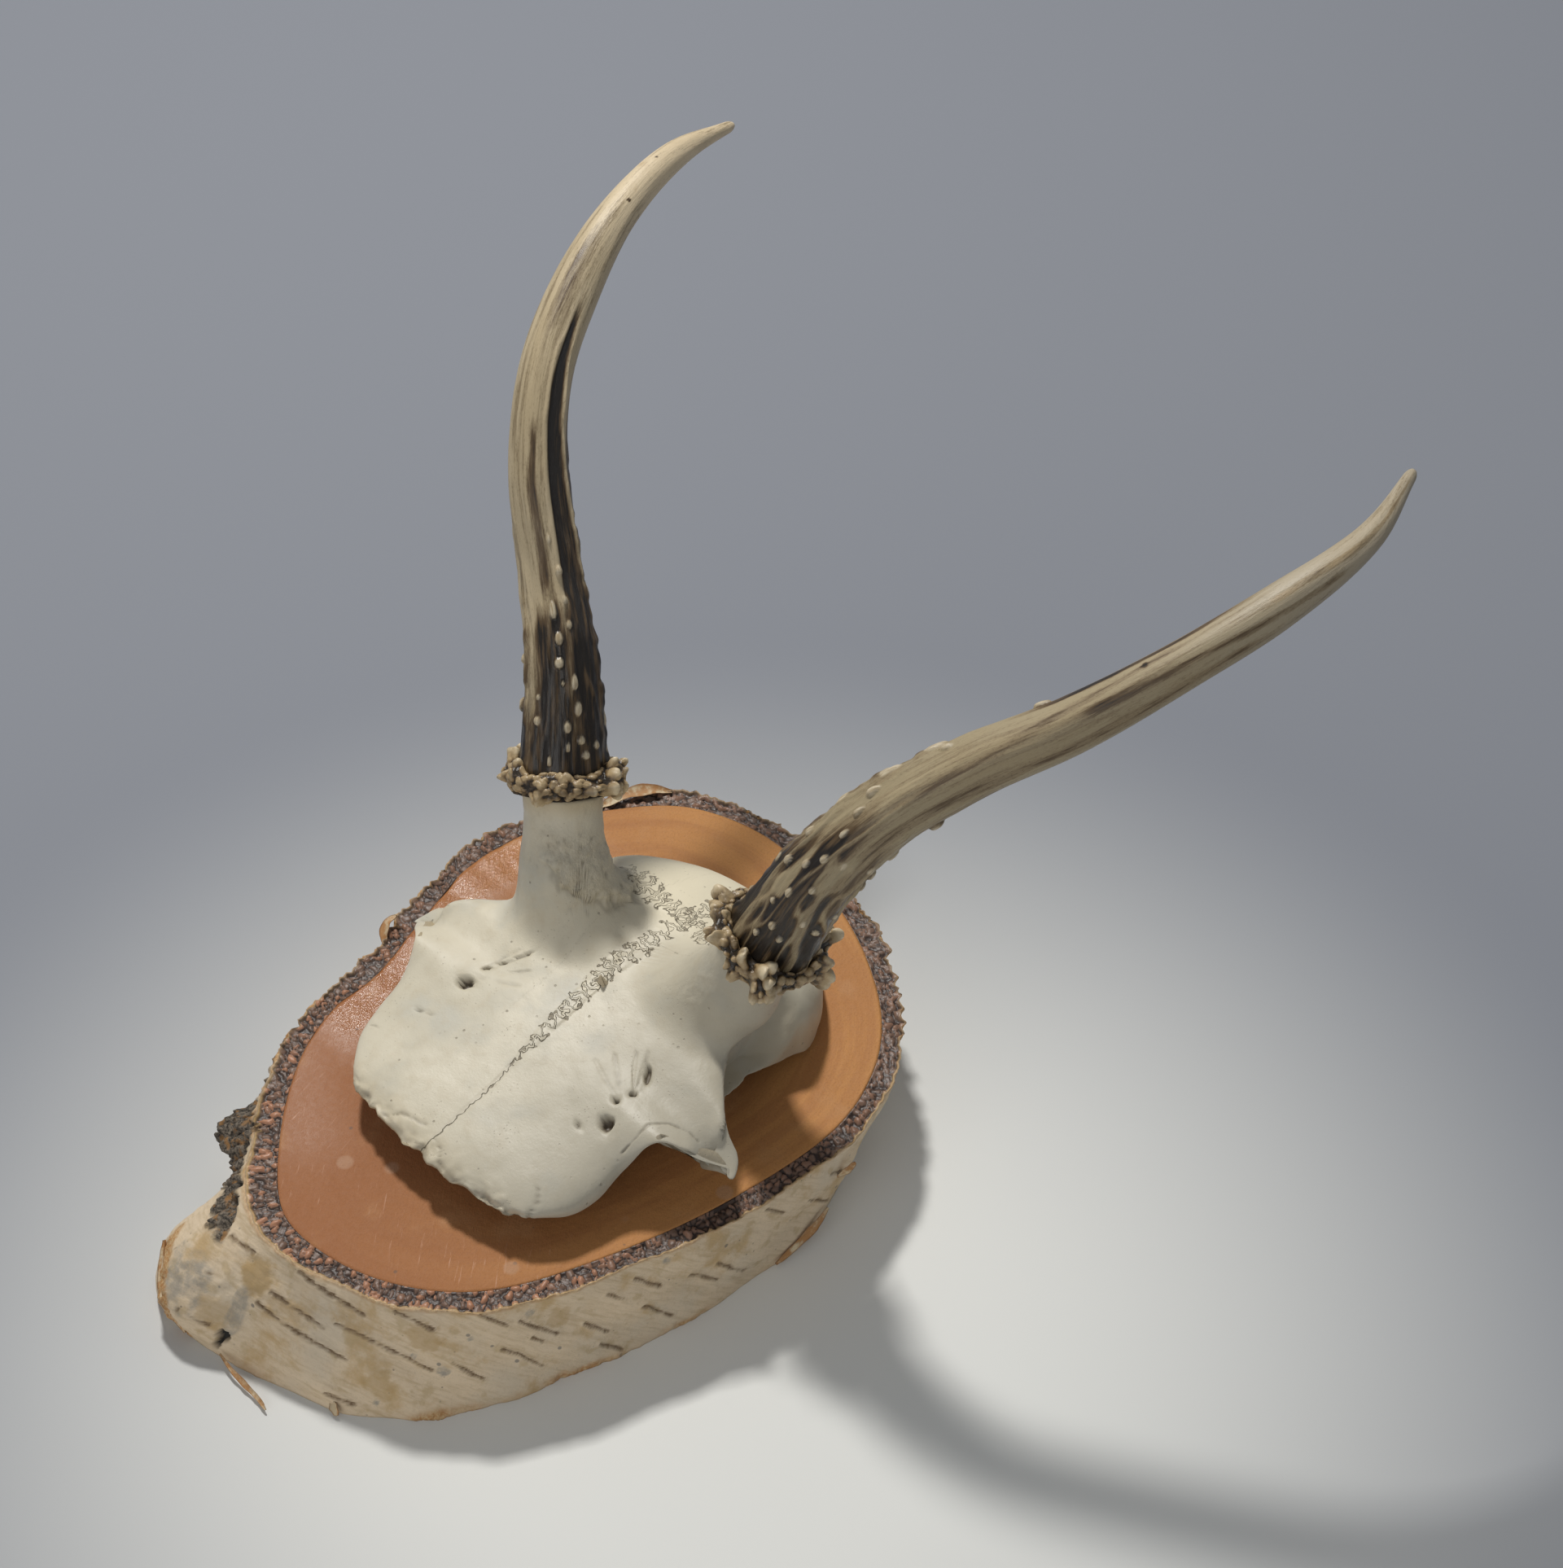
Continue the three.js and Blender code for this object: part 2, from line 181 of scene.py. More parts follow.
def grains(places, size, seed=0):
    """Nearest and second nearest distance, in units of size, to one random point in each lattice cell,
    and the nearest point's own number from 0 to 1."""
    shape = np.shape(places)[:-1]
    nearest, second, own = np.full(shape, 9.0), np.full(shape, 9.0), np.zeros(shape)
    for gap, number in scattered(places, size, seed):
        distance = np.linalg.norm(gap, axis=-1)
        closer = distance < nearest
        second = np.where(closer, nearest, np.minimum(second, distance))
        own = np.where(closer, number, own)
        nearest = np.where(closer, distance, nearest)
    return nearest, second, own


def blobs(places, size, seed=0):
    """Merged round lumps: one random point in each lattice cell adds its own number times
    exp(-(distance / 0.42)^2), with distances in units of size."""
    total = np.zeros(np.shape(places)[:-1])
    for gap, number in scattered(places, size, seed):
        total += (0.35 + 0.9 * number) * np.exp(-(gap**2).sum(-1) / 0.42**2)
    return total


def segment_distance(places, start, end):
    """Distance from each place to a straight segment."""
    start, end = np.asarray(start, float), np.asarray(end, float)
    run = end - start
    w = np.clip(((places - start) @ run) / (run @ run), 0, 1)
    return np.linalg.norm(places - start - w[..., None] * run, axis=-1)


def wall_distance(places, normals, start, end):
    """Distance from each place to a straight segment, leaving out the part along the place's own normal."""
    start, end = np.asarray(start, float), np.asarray(end, float)
    run = end - start
    w = np.clip(((places - start) @ run) / (run @ run), 0, 1)
    gap = places - start - w[..., None] * run
    return np.linalg.norm(gap - (gap * normals).sum(-1)[..., None] * normals, axis=-1)


def path_distance(places, path):
    """Distance from each place to a path of straight segments."""
    return np.min([segment_distance(places, a, b) for a, b in zip(path[:-1], path[1:])], axis=0)


def grid_normals(P, wrap_rows, wrap_columns):
    """Unit normals of a grid of places: the cross product of its column step and its row step."""
    def step(axis, wrap):
        if wrap:
            return np.roll(P, -1, axis) - np.roll(P, 1, axis)
        return np.gradient(P, axis=axis)
    return unit(np.cross(step(1, wrap_columns), step(0, wrap_rows)))


def surface(name, P, material, node=None, wrap_rows=False, poles=(), marks=None):
    """Writes a grid of places (rows, columns, 3) as a closed mesh object that rides on the root body.

    The last column joins the first, and so do the rows where they wrap. A pole closes an end row with a fan.
    marks are numbers or vectors per place, kept as attributes for the material.
    """
    rows, columns = P.shape[:2]
    index = np.arange(rows * columns).reshape(rows, columns)
    if wrap_rows:
        index = np.concatenate([index, index[:1]])
    index = np.concatenate([index, index[:, :1]], 1)
    quads = np.stack([index[:-1, :-1], index[:-1, 1:], index[1:, 1:], index[1:, :-1]], -1).reshape(-1, 4)
    places = P.reshape(-1, 3)
    fans = []
    for row in poles:
        ring = index[row]
        pole = len(places)
        places = np.concatenate([places, P[row].mean(0)[None]])
        fan = np.stack([ring[1:], ring[:-1], np.full(len(ring) - 1, pole)], -1)
        fans.append(fan if row == 0 else fan[:, ::-1])
    corners = places[quads]
    volume = (corners[:, 0] * np.cross(corners[:, 1], corners[:, 2])).sum()
    volume += (corners[:, 0] * np.cross(corners[:, 2], corners[:, 3])).sum()
    if volume < 0:
        quads = quads[:, ::-1]
        fans = [fan[:, ::-1] for fan in fans]
    mesh = bpy.data.meshes.new(name)
    faces = quads.tolist()
    for fan in fans:
        faces += fan.tolist()
    mesh.from_pydata((places * METRES).tolist(), [], faces)
    mesh.polygons.foreach_set("use_smooth", np.ones(len(faces), bool))
    for mark, values in (marks or {}).items():
        values = np.asarray(values, float)
        vector = values.ndim == 3
        flat = values.reshape((-1, 3) if vector else -1)
        for row in poles:
            flat = np.concatenate([flat, values[row].mean(0)[None] if vector else [values[row].mean()]])
        layer = mesh.attributes.new(mark, "FLOAT_VECTOR" if vector else "FLOAT", "POINT")
        layer.data.foreach_set("vector" if vector else "value", flat.ravel())
    mesh.materials.append(material)
    piece = bpy.data.objects.new(name, mesh)
    bpy.context.scene.collection.objects.link(piece)
    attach(piece, "root")
    if node:
        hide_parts(node)
    return piece


# Materials.

class Finish:
    """A procedural material: each method adds nodes and returns what they give."""

    def __init__(self, name):
        self.material = bpy.data.materials.new(name)
        self.material.use_nodes = True
        self.tree = self.material.node_tree
        self.tree.nodes.clear()
        place = self.node("ShaderNodeTexCoord").outputs["Object"]
        self.mm = self.node("ShaderNodeVectorMath", {0: place, 3: 1 / METRES}, operation="SCALE").outputs[0]

    def node(self, kind, inputs=None, **settings):
        made = self.tree.nodes.new(kind)
        for key, value in settings.items():
            setattr(made, key, value)
        for key, value in (inputs or {}).items():
            if isinstance(value, bpy.types.NodeSocket):
                self.tree.links.new(value, made.inputs[key])
            else:
                made.inputs[key].default_value = value
        return made

    def mark(self, name):
        return self.node("ShaderNodeAttribute", attribute_name=name).outputs["Fac"]

    def mark_vector(self, name):
        return self.node("ShaderNodeAttribute", attribute_name=name).outputs["Vector"]

    def stretched(self, places, scale):
        return self.node("ShaderNodeMapping", {"Vector": places, "Scale": scale}).outputs[0]

    def noise(self, places, scale, detail=3.0, roughness=0.5):
        inputs = {"Vector": places, "Scale": scale, "Detail": detail, "Roughness": roughness}
        return self.node("ShaderNodeTexNoise", inputs).outputs["Fac"]

    def dots(self, places, scale):
        return self.node("ShaderNodeTexVoronoi", {"Vector": places, "Scale": scale}).outputs["Distance"]

    def grade(self, value, low, high, to_low=0.0, to_high=1.0):
        inputs = {"Value": value, "From Min": low, "From Max": high, "To Min": to_low, "To Max": to_high}
        return self.node("ShaderNodeMapRange", inputs, interpolation_type="SMOOTHSTEP").outputs[0]

    def work(self, operation, a, b=0.0):
        return self.node("ShaderNodeMath", {0: a, 1: b}, operation=operation).outputs[0]

    def plus(self, a, b):
        return self.work("ADD", a, b)

    def minus(self, a, b):
        return self.work("SUBTRACT", a, b)

    def times(self, a, b):
        return self.work("MULTIPLY", a, b)

    def most(self, a, b):
        return self.work("MAXIMUM", a, b)

    def mix(self, share, a, b):
        made = self.node("ShaderNodeMix", data_type="RGBA")
        for key, value in ((0, share), (6, a), (7, b)):
            if isinstance(value, bpy.types.NodeSocket):
                self.tree.links.new(value, made.inputs[key])
            else:
                made.inputs[key].default_value = value if key == 0 else (*value, 1)
        return made.outputs[2]

    def patchy(self, color, tint, scale, low, high, strength=1.0, detail=3):
        """The colour with soft patches of a tint, where a noise rises from low to high."""
        share = self.grade(self.noise(self.mm, scale, detail), low, high, 0, strength)
        return self.mix(share, color, tint)

    def marked(self, color, tint, mark, strength=1.0):
        """The colour turned to a tint where the piece's own mark says so."""
        share = self.mark(mark)
        if strength != 1:
            share = self.times(share, strength)
        return self.mix(share, color, tint)

    def specks(self, scale, low, high):
        """1 in small round dots, one to each random cell, and 0 outside them."""
        return self.grade(self.dots(self.mm, scale), low, high, 1, 0)

    def bump(self, height, distance):
        inputs = {"Height": height, "Distance": distance * METRES, "Strength": 1.0}
        return self.node("ShaderNodeBump", inputs).outputs[0]

    def done(self, color, roughness, normal=None, specular=0.5):
        shader = self.node("ShaderNodeBsdfPrincipled", {"Base Color": color, "Roughness": roughness})
        if normal is not None:
            self.tree.links.new(normal, shader.inputs["Normal"])
        shader.inputs["Specular IOR Level"].default_value = specular
        self.node("ShaderNodeOutputMaterial", {"Surface": shader.outputs[0]})
        return self.material


def bone_finish():
    """Bleached bone: cream with cool and yellow blotches, fine pores, winding seams, pits darkened with painted
    shade, and painted shade towards +X and under the burrs.

    A seam is where offset / half width equals sin(run 2 pi / pitch + noise): a line that swings across the
    whole band. Its two edges are drawn, a quarter of a millimetre apart, with a raised strip between them.
    """
    cream, cool = (0.71, 0.645, 0.50), (0.615, 0.56, 0.43)
    grey, yellow = (0.56, 0.54, 0.46), (0.56, 0.47, 0.32)
    rear_pale, stain_and_shade_tan = (0.84, 0.755, 0.56), (0.58, 0.45, 0.25)
    spongy, spongy_pit = (0.56, 0.47, 0.33), (0.34, 0.27, 0.18)
    dull, pore_brown, small_pore = (0.35, 0.322, 0.258), (0.20, 0.16, 0.11), (0.42, 0.36, 0.27)
    strip_tan, seam_brown, stain_and_shade_brown = (0.66, 0.58, 0.41), (0.19, 0.145, 0.09), (0.09, 0.065, 0.04)
    f = Finish("bleached_bone")
    broad = f.noise(f.mm, 0.045, 4, 0.55)
    fine = f.noise(f.mm, 0.35, 5, 0.6)
    color = f.mix(f.grade(broad, 0.38, 0.62), cream, cool)
    color = f.patchy(color, grey, 0.09, 0.52, 0.72, 0.6)
    color = f.mix(f.grade(fine, 0.45, 0.75, 0, 0.35), color, yellow)
    # Paler towards the rear of the cap.
    color = f.marked(color, rear_pale, "rear")
    # Warm brown from stains at the rear rim and nose and in the temple hollows, and painted shade under each
    # burr.
    color = f.marked(color, stain_and_shade_tan, "warm_stain_and_shade", 0.8)
    speckle = f.noise(f.mm, 1.6, 4, 0.7)
    rough = f.mark("porous")
    color = f.mix(f.times(rough, 0.25), color, spongy)
    color = f.mix(f.times(f.times(f.grade(speckle, 0.46, 0.66), rough), 0.4), color, spongy_pit)
    pore = f.times(f.specks(0.42, 0.06, 0.13), f.grade(f.noise(f.mm, 0.12, 2), 0.48, 0.6))
    color = f.mix(f.times(pore, 0.6), color, pore_brown)
    small = f.times(f.specks(1.4, 0.10, 0.2), f.grade(f.noise(f.mm, 0.2, 2), 0.5, 0.66, 0, 0.5))
    color = f.mix(small, color, small_pore)
    split = f.node("ShaderNodeSeparateXYZ", {"Vector": f.mm})
    # Painted shade: the bone turns a duller brown towards +X, the side turned from the light.
    color = f.mix(f.grade(split.outputs[0], -14, 34, 0, 0.62), color, dull)
    flat = f.stretched(f.mm, (1, 1, 0))
    wobble = f.noise(flat, 0.42, 2, 0.5)
    ripple = f.noise(flat, 0.9, 1, 0.5)

    def seam(offset, half, run, pitch):
        turn = 2 * math.pi / pitch
        phase = f.plus(f.times(run, turn), f.times(f.minus(wobble, 0.5), 13.0))
        across = f.work("DIVIDE", offset, half)
        across = f.plus(across, f.times(f.minus(ripple, 0.5), 1.6))
        value = f.minus(across, f.work("SINE", phase))
        steep = f.times(f.work("COSINE", phase), turn * 1.1)
        own = f.work("DIVIDE", 1.0, half)
        slope = f.work("SQRT", f.plus(f.times(steep, steep), f.times(own, own)))
        distance = f.work("DIVIDE", f.work("ABSOLUTE", value), slope)
        gap = f.grade(half, 0.3, 0.8, 0.0, 0.27)
        edge = f.grade(f.work("ABSOLUTE", f.minus(distance, gap)), 0.02, 0.12, 1, 0)
        strip = f.times(f.grade(distance, 0.12, 0.3, 1, 0), f.grade(half, 0.4, 1.0))
        return edge, strip

    edge_a, strip_a = seam(f.mark("seam_offset"), f.mark("seam_half"), split.outputs[1], 2.7)
    edge_b, strip_b = seam(f.mark("cross_offset"), f.mark("cross_half"), split.outputs[0], 2.4)
    line = f.most(edge_a, edge_b)
    strip = f.most(strip_a, strip_b)
    color = f.mix(f.times(strip, 0.3), color, strip_tan)
    color = f.mix(f.times(line, 0.68), color, seam_brown)
    # Dark brown of stains, cracks and grooves, and painted shade in the pits and under the torn shelf.
    color = f.marked(color, stain_and_shade_brown, "stain")
    height = f.plus(f.times(fine, 0.5), f.times(f.noise(f.mm, 2.2, 4, 0.6), 0.25))
    height = f.minus(height, f.times(line, 1.6))
    height = f.plus(height, f.times(strip, 0.9))
    height = f.minus(height, f.times(f.most(pore, small), 0.5))
    height = f.plus(height, f.times(f.times(speckle, rough), 2.2))
    roughness = f.grade(broad, 0.3, 0.7, 0.42, 0.56)
    return f.done(color, roughness, f.bump(height, 0.16), specular=0.4)


def antler_finish(name, cream, tip):
    """Antler: cream where it is rubbed, olive and brown streaks along it, and glossy black-brown round
    cream pearls."""
    tan, rust = (0.40, 0.30, 0.16), (0.40, 0.25, 0.09)
    olive, speck_brown = (0.275, 0.205, 0.115), (0.16, 0.11, 0.055)
    brown, black = (0.115, 0.072, 0.034), (0.021, 0.016, 0.012)
    pearl_cream, pearl_tan = (0.64, 0.55, 0.39), (0.40, 0.30, 0.17)
    f = Finish(name)
    straight = f.mark_vector("straight")
    streak = f.noise(f.stretched(straight, (1.0, 1.0, 0.05)), 0.8, 5, 0.66)
    hair = f.noise(f.stretched(straight, (1.0, 1.0, 0.10)), 3.2, 4, 0.65)
    speck = f.noise(f.stretched(straight, (1.0, 1.0, 0.35)), 4.5, 3, 0.7)
    broad = f.noise(f.stretched(straight, (1.0, 1.0, 0.3)), 0.12, 3)
    color = f.mix(f.grade(f.mark("rise"), 0.5, 0.92), cream, tip)
    color = f.mix(f.grade(broad, 0.44, 0.64, 0, 0.4), color, tan)
    color = f.marked(color, rust, "ochre")
    shade = f.plus(f.mark("dark"), f.times(f.minus(streak, 0.52), 1.9))
    shade = f.plus(shade, f.times(f.minus(hair, 0.5), 0.55))
    color = f.mix(f.grade(shade, -0.05, 0.32, 0, 0.8), color, olive)
    color = f.mix(f.times(f.grade(speck, 0.5, 0.66), f.grade(shade, -0.2, 0.3, 0.1, 0.6)), color, speck_brown)
    color = f.mix(f.grade(shade, 0.3, 0.62), color, brown)
    color = f.mix(f.grade(shade, 0.6, 0.95), color, black)
    color = f.mix(f.mark("pearl"), color, f.mix(f.grade(hair, 0.35, 0.7), pearl_cream, pearl_tan))
    height = f.plus(f.times(hair, 0.45), streak)
    height = f.minus(height, f.times(speck, 0.2))
    roughness = f.grade(shade, 0.3, 0.9, 0.48, 0.3)
    return f.done(color, roughness, f.bump(height, 0.14), specular=0.5)


def burr_finish():
    """Burr: cream tips of its knobs over brown sides and black-brown crevices."""
    black, brown, tan, cream = (0.03, 0.021, 0.013), (0.26, 0.17, 0.08), (0.45, 0.33, 0.18), (0.68, 0.56, 0.37)
    dirt = (0.09, 0.06, 0.035)
    f = Finish("antler_burr")
    fine = f.noise(f.mm, 1.3, 4, 0.6)
    level = f.plus(f.mark("crest"), f.times(f.minus(fine, 0.5), 0.5))
    color = f.mix(f.grade(level, 0.02, 0.24), black, brown)
    color = f.mix(f.grade(level, 0.2, 0.42), color, tan)
    color = f.mix(f.grade(level, 0.42, 0.85), color, cream)
    color = f.patchy(color, dirt, 0.25, 0.56, 0.70, 0.6)
    return f.done(color, f.grade(level, 0.2, 0.8, 0.33, 0.45), f.bump(fine, 0.15))


def wood_finish():
    """Varnished birch: orange-brown, redder at the nose end and amber behind, faint rings that follow the
    bark, and fine brushed scratches that glint under the varnish, painted paler in part as glints."""
    red_brown, amber = (0.36, 0.142, 0.052), (0.56, 0.26, 0.08)
    ring_brown, pale = (0.34, 0.13, 0.045), (0.55, 0.29, 0.13)
    grain_brown, fleck_grey, smudge_tan = (0.24, 0.09, 0.03), (0.12, 0.09, 0.07), (0.56, 0.36, 0.24)
    scratch_and_glint_pale = (0.82, 0.50, 0.36)
    f = Finish("varnished_birch")
    ring_place = f.mark_vector("ring_place")
    split = f.node("ShaderNodeSeparateXYZ", {"Vector": f.mm})
    rear = f.plus(f.times(split.outputs[1], 0.011), f.times(split.outputs[0], 0.010))
    rear = f.plus(rear, f.times(f.noise(f.mm, 0.03, 3), 0.5))
    color = f.mix(f.grade(rear, -0.35, 0.95), red_brown, amber)
    rings = f.noise(f.stretched(ring_place, (0.06, 0.06, 1.0)), 0.30, 4, 0.6)
    color = f.mix(f.grade(rings, 0.4, 0.62, 0, 0.4), color, ring_brown)
    color = f.patchy(color, pale, 0.09, 0.54, 0.72, 0.4)
    color = f.mix(f.grade(f.noise(f.mm, 2.5, 4, 0.7), 0.45, 0.72, 0, 0.3), color, grain_brown)
    color = f.mix(f.times(f.specks(0.16, 0.04, 0.07), 0.55), color, fleck_grey)
    smudge = f.grade(f.dots(f.stretched(f.mm, (1, 1, 0)), 0.075), 0.09, 0.14, 1, 0)
    color = f.mix(f.times(smudge, 0.35), color, smudge_tan)

    def strokes(turn):
        """Fine scratches in one direction, as a noise drawn out along it."""
        turned = f.node("ShaderNodeMapping", {"Vector": f.mm, "Rotation": (0, 0, math.radians(turn))})
        return f.noise(f.stretched(turned.outputs[0], (2.6, 0.2, 1)), 0.8, 4, 0.7)

    across, slanted = strokes(-42), strokes(-15)
    # Pale scratches along the strokes: partly real scratches in the varnish, partly painted glints where they
    # catch the light.
    light = f.times(f.grade(slanted, 0.58, 0.76), f.mark("slanted_strokes"))
    light = f.most(light, f.times(f.grade(across, 0.58, 0.76), f.mark("upright_strokes")))
    light = f.times(light, f.grade(f.noise(f.mm, 0.2, 3), 0.4, 0.62, 0.1, 0.6))
    color = f.mix(light, color, scratch_and_glint_pale)
    sparkle = f.noise(f.mm, 0.9, 4, 0.75)
    height = f.plus(f.times(f.plus(across, slanted), 0.45), f.times(sparkle, 0.8))
    height = f.plus(height, f.times(f.noise(f.mm, 0.10, 2), 2.0))
    glossy = f.most(f.mark("planed"), f.times(f.mark("slanted_strokes"), 0.45))
    roughness = f.minus(f.grade(sparkle, 0.35, 0.65, 0.74, 0.66), f.times(glossy, 0.54))
    return f.done(color, roughness, f.bump(height, 0.18), specular=0.4)


def bark_finish():
    """Birch bark: white paper with ochre and grey stains and brown lenticels, a thin ochre rim, granular
    varnished inner bark on the sawn face, and grey scaly bark round the knot."""
    paper, paper_shade, worn = (0.72, 0.575, 0.40), (0.56, 0.425, 0.26), (0.62, 0.54, 0.42)
    ochre, dusty, dull = (0.52, 0.35, 0.16), (0.50, 0.37, 0.20), (0.42, 0.34, 0.22)
    dot_brown, lichen_grey, rust = (0.17, 0.13, 0.09), (0.16, 0.15, 0.14), (0.44, 0.29, 0.12)
    smoke, lenticel_brown = (0.27, 0.255, 0.225), (0.15, 0.088, 0.04)
    scale_black, scale_grey, scale_rust = (0.03, 0.024, 0.018), (0.27, 0.22, 0.165), (0.36, 0.19, 0.07)
    peel_brown, peel_tan, hole_shade_black = (0.44, 0.22, 0.075), (0.60, 0.42, 0.22), (0.012, 0.01, 0.008)
    grain_dark, grain_brown, grain_grey = (0.05, 0.031, 0.024), (0.19, 0.115, 0.08), (0.09, 0.062, 0.05)
    grain_pink, rim_ochre = (0.46, 0.225, 0.13), (0.60, 0.40, 0.18)
    f = Finish("birch_bark")
    trunk = f.mark_vector("trunk_place")
    layers = f.noise(f.stretched(trunk, (0.25, 0.25, 1.6)), 0.8, 5, 0.6)
    blotch = f.noise(f.mm, 0.11, 5, 0.6)
    fine = f.noise(f.mm, 1.6, 5, 0.65)
    white = f.mix(f.grade(layers, 0.4, 0.8), paper, paper_shade)
    white = f.patchy(white, worn, 0.07, 0.5, 0.7, 0.5)
    white = f.mix(f.grade(blotch, 0.52, 0.70, 0, 0.8), white, ochre)
    white = f.patchy(white, dusty, 0.3, 0.56, 0.70, 0.6, 4)
    white = f.mix(f.grade(fine, 0.5, 0.75, 0, 0.3), white, dull)
    speck = f.times(f.specks(0.55, 0.07, 0.13), f.grade(f.noise(f.mm, 0.15, 2), 0.5, 0.6))
    white = f.mix(f.times(speck, 0.6), white, dot_brown)
    white = f.mix(f.times(f.specks(0.17, 0.05, 0.085), 0.7), white, lichen_grey)
    white = f.marked(white, rust, "stain")
    smoky = f.times(f.mark("grey"), f.grade(f.noise(f.mm, 0.5, 5, 0.65), 0.32, 0.62, 0.2, 0.8))
    white = f.mix(smoky, white, smoke)
    white = f.mix(f.times(f.mark("lenticel"), f.grade(fine, 0.3, 0.6, 0.6, 1.0)), white, lenticel_brown)
    scaly = f.mix(f.grade(fine, 0.35, 0.65), scale_black, scale_grey)
    scaly = f.patchy(scaly, scale_rust, 0.5, 0.53, 0.68)
    outer = f.mix(f.mark("scaly"), white, scaly)
    outer = f.mix(f.mark("peel"), outer, f.mix(f.grade(fine, 0.4, 0.65), peel_brown, peel_tan))
    grain = f.mark("grain")
    inner = f.mix(f.grade(grain, 0.15, 0.8), grain_dark, grain_brown)
    inner = f.patchy(inner, grain_grey, 0.4, 0.5, 0.7, 0.5)
    inner = f.mix(f.times(f.mark("pink"), f.grade(grain, 0.35, 0.9)), inner, grain_pink)
    inner = f.marked(inner, rim_ochre, "ochre")
    color = f.mix(f.mark("sawn"), outer, inner)
    # Painted shade: the holes are painted near black, as if deeper than their shallow relief.
    color = f.marked(color, hole_shade_black, "hole")
    height = f.plus(f.times(layers, 0.3), f.times(fine, 0.4))
    height = f.plus(height, f.times(f.times(fine, f.mark("scaly")), 2.5))
    roughness = f.grade(f.mark("sawn"), 0.2, 0.8, 0.68, 0.36)
    return f.done(color, roughness, f.bump(height, 0.22), specular=0.4)


def flake_finish():
    """Loose bark paper: orange-brown inside and cream outside, streaked along the curl."""
    orange_brown, cream, edge_brown = (0.42, 0.21, 0.075), (0.62, 0.50, 0.32), (0.25, 0.12, 0.045)
    f = Finish("bark_paper")
    tone = f.noise(f.mm, 0.5, 4, 0.6)
    color = f.mix(f.grade(tone, 0.4, 0.62), orange_brown, cream)
    color = f.marked(color, edge_brown, "edge")
    return f.done(color, 0.62, f.bump(tone, 0.1))


# Skull cap.

def cap_point(u, v):
    """Place on the cap's outer sheet, u across and v along, both from -1 to 1.

    Each cross-section is a superellipse: with a = sin(u pi/2) and b = cos(u pi/2), both are divided by
    (|a|^p + |b|^p)^(1/p), then scaled by the half width and by the height over the rim.
    """
    t = (v + 1) / 2
    power = spline(CAP_SQUARENESS, t)
    a, b = np.sin(u * math.pi / 2), np.cos(u * math.pi / 2)
    reach = (np.abs(a) ** power + np.abs(b) ** power) ** (-1 / power)
    half = np.where(u > 0, spline(CAP_LEFT_WIDTH, t), spline(CAP_RIGHT_WIDTH, t))
    rim = spline(CAP_RIM, t)
    z = rim + (spline(CAP_CREST, t) - rim) * reach * b
    return np.stack([half * reach * a, spline(CAP_Y, t) + spline(CAP_BOW, t) * u**2, z], -1)


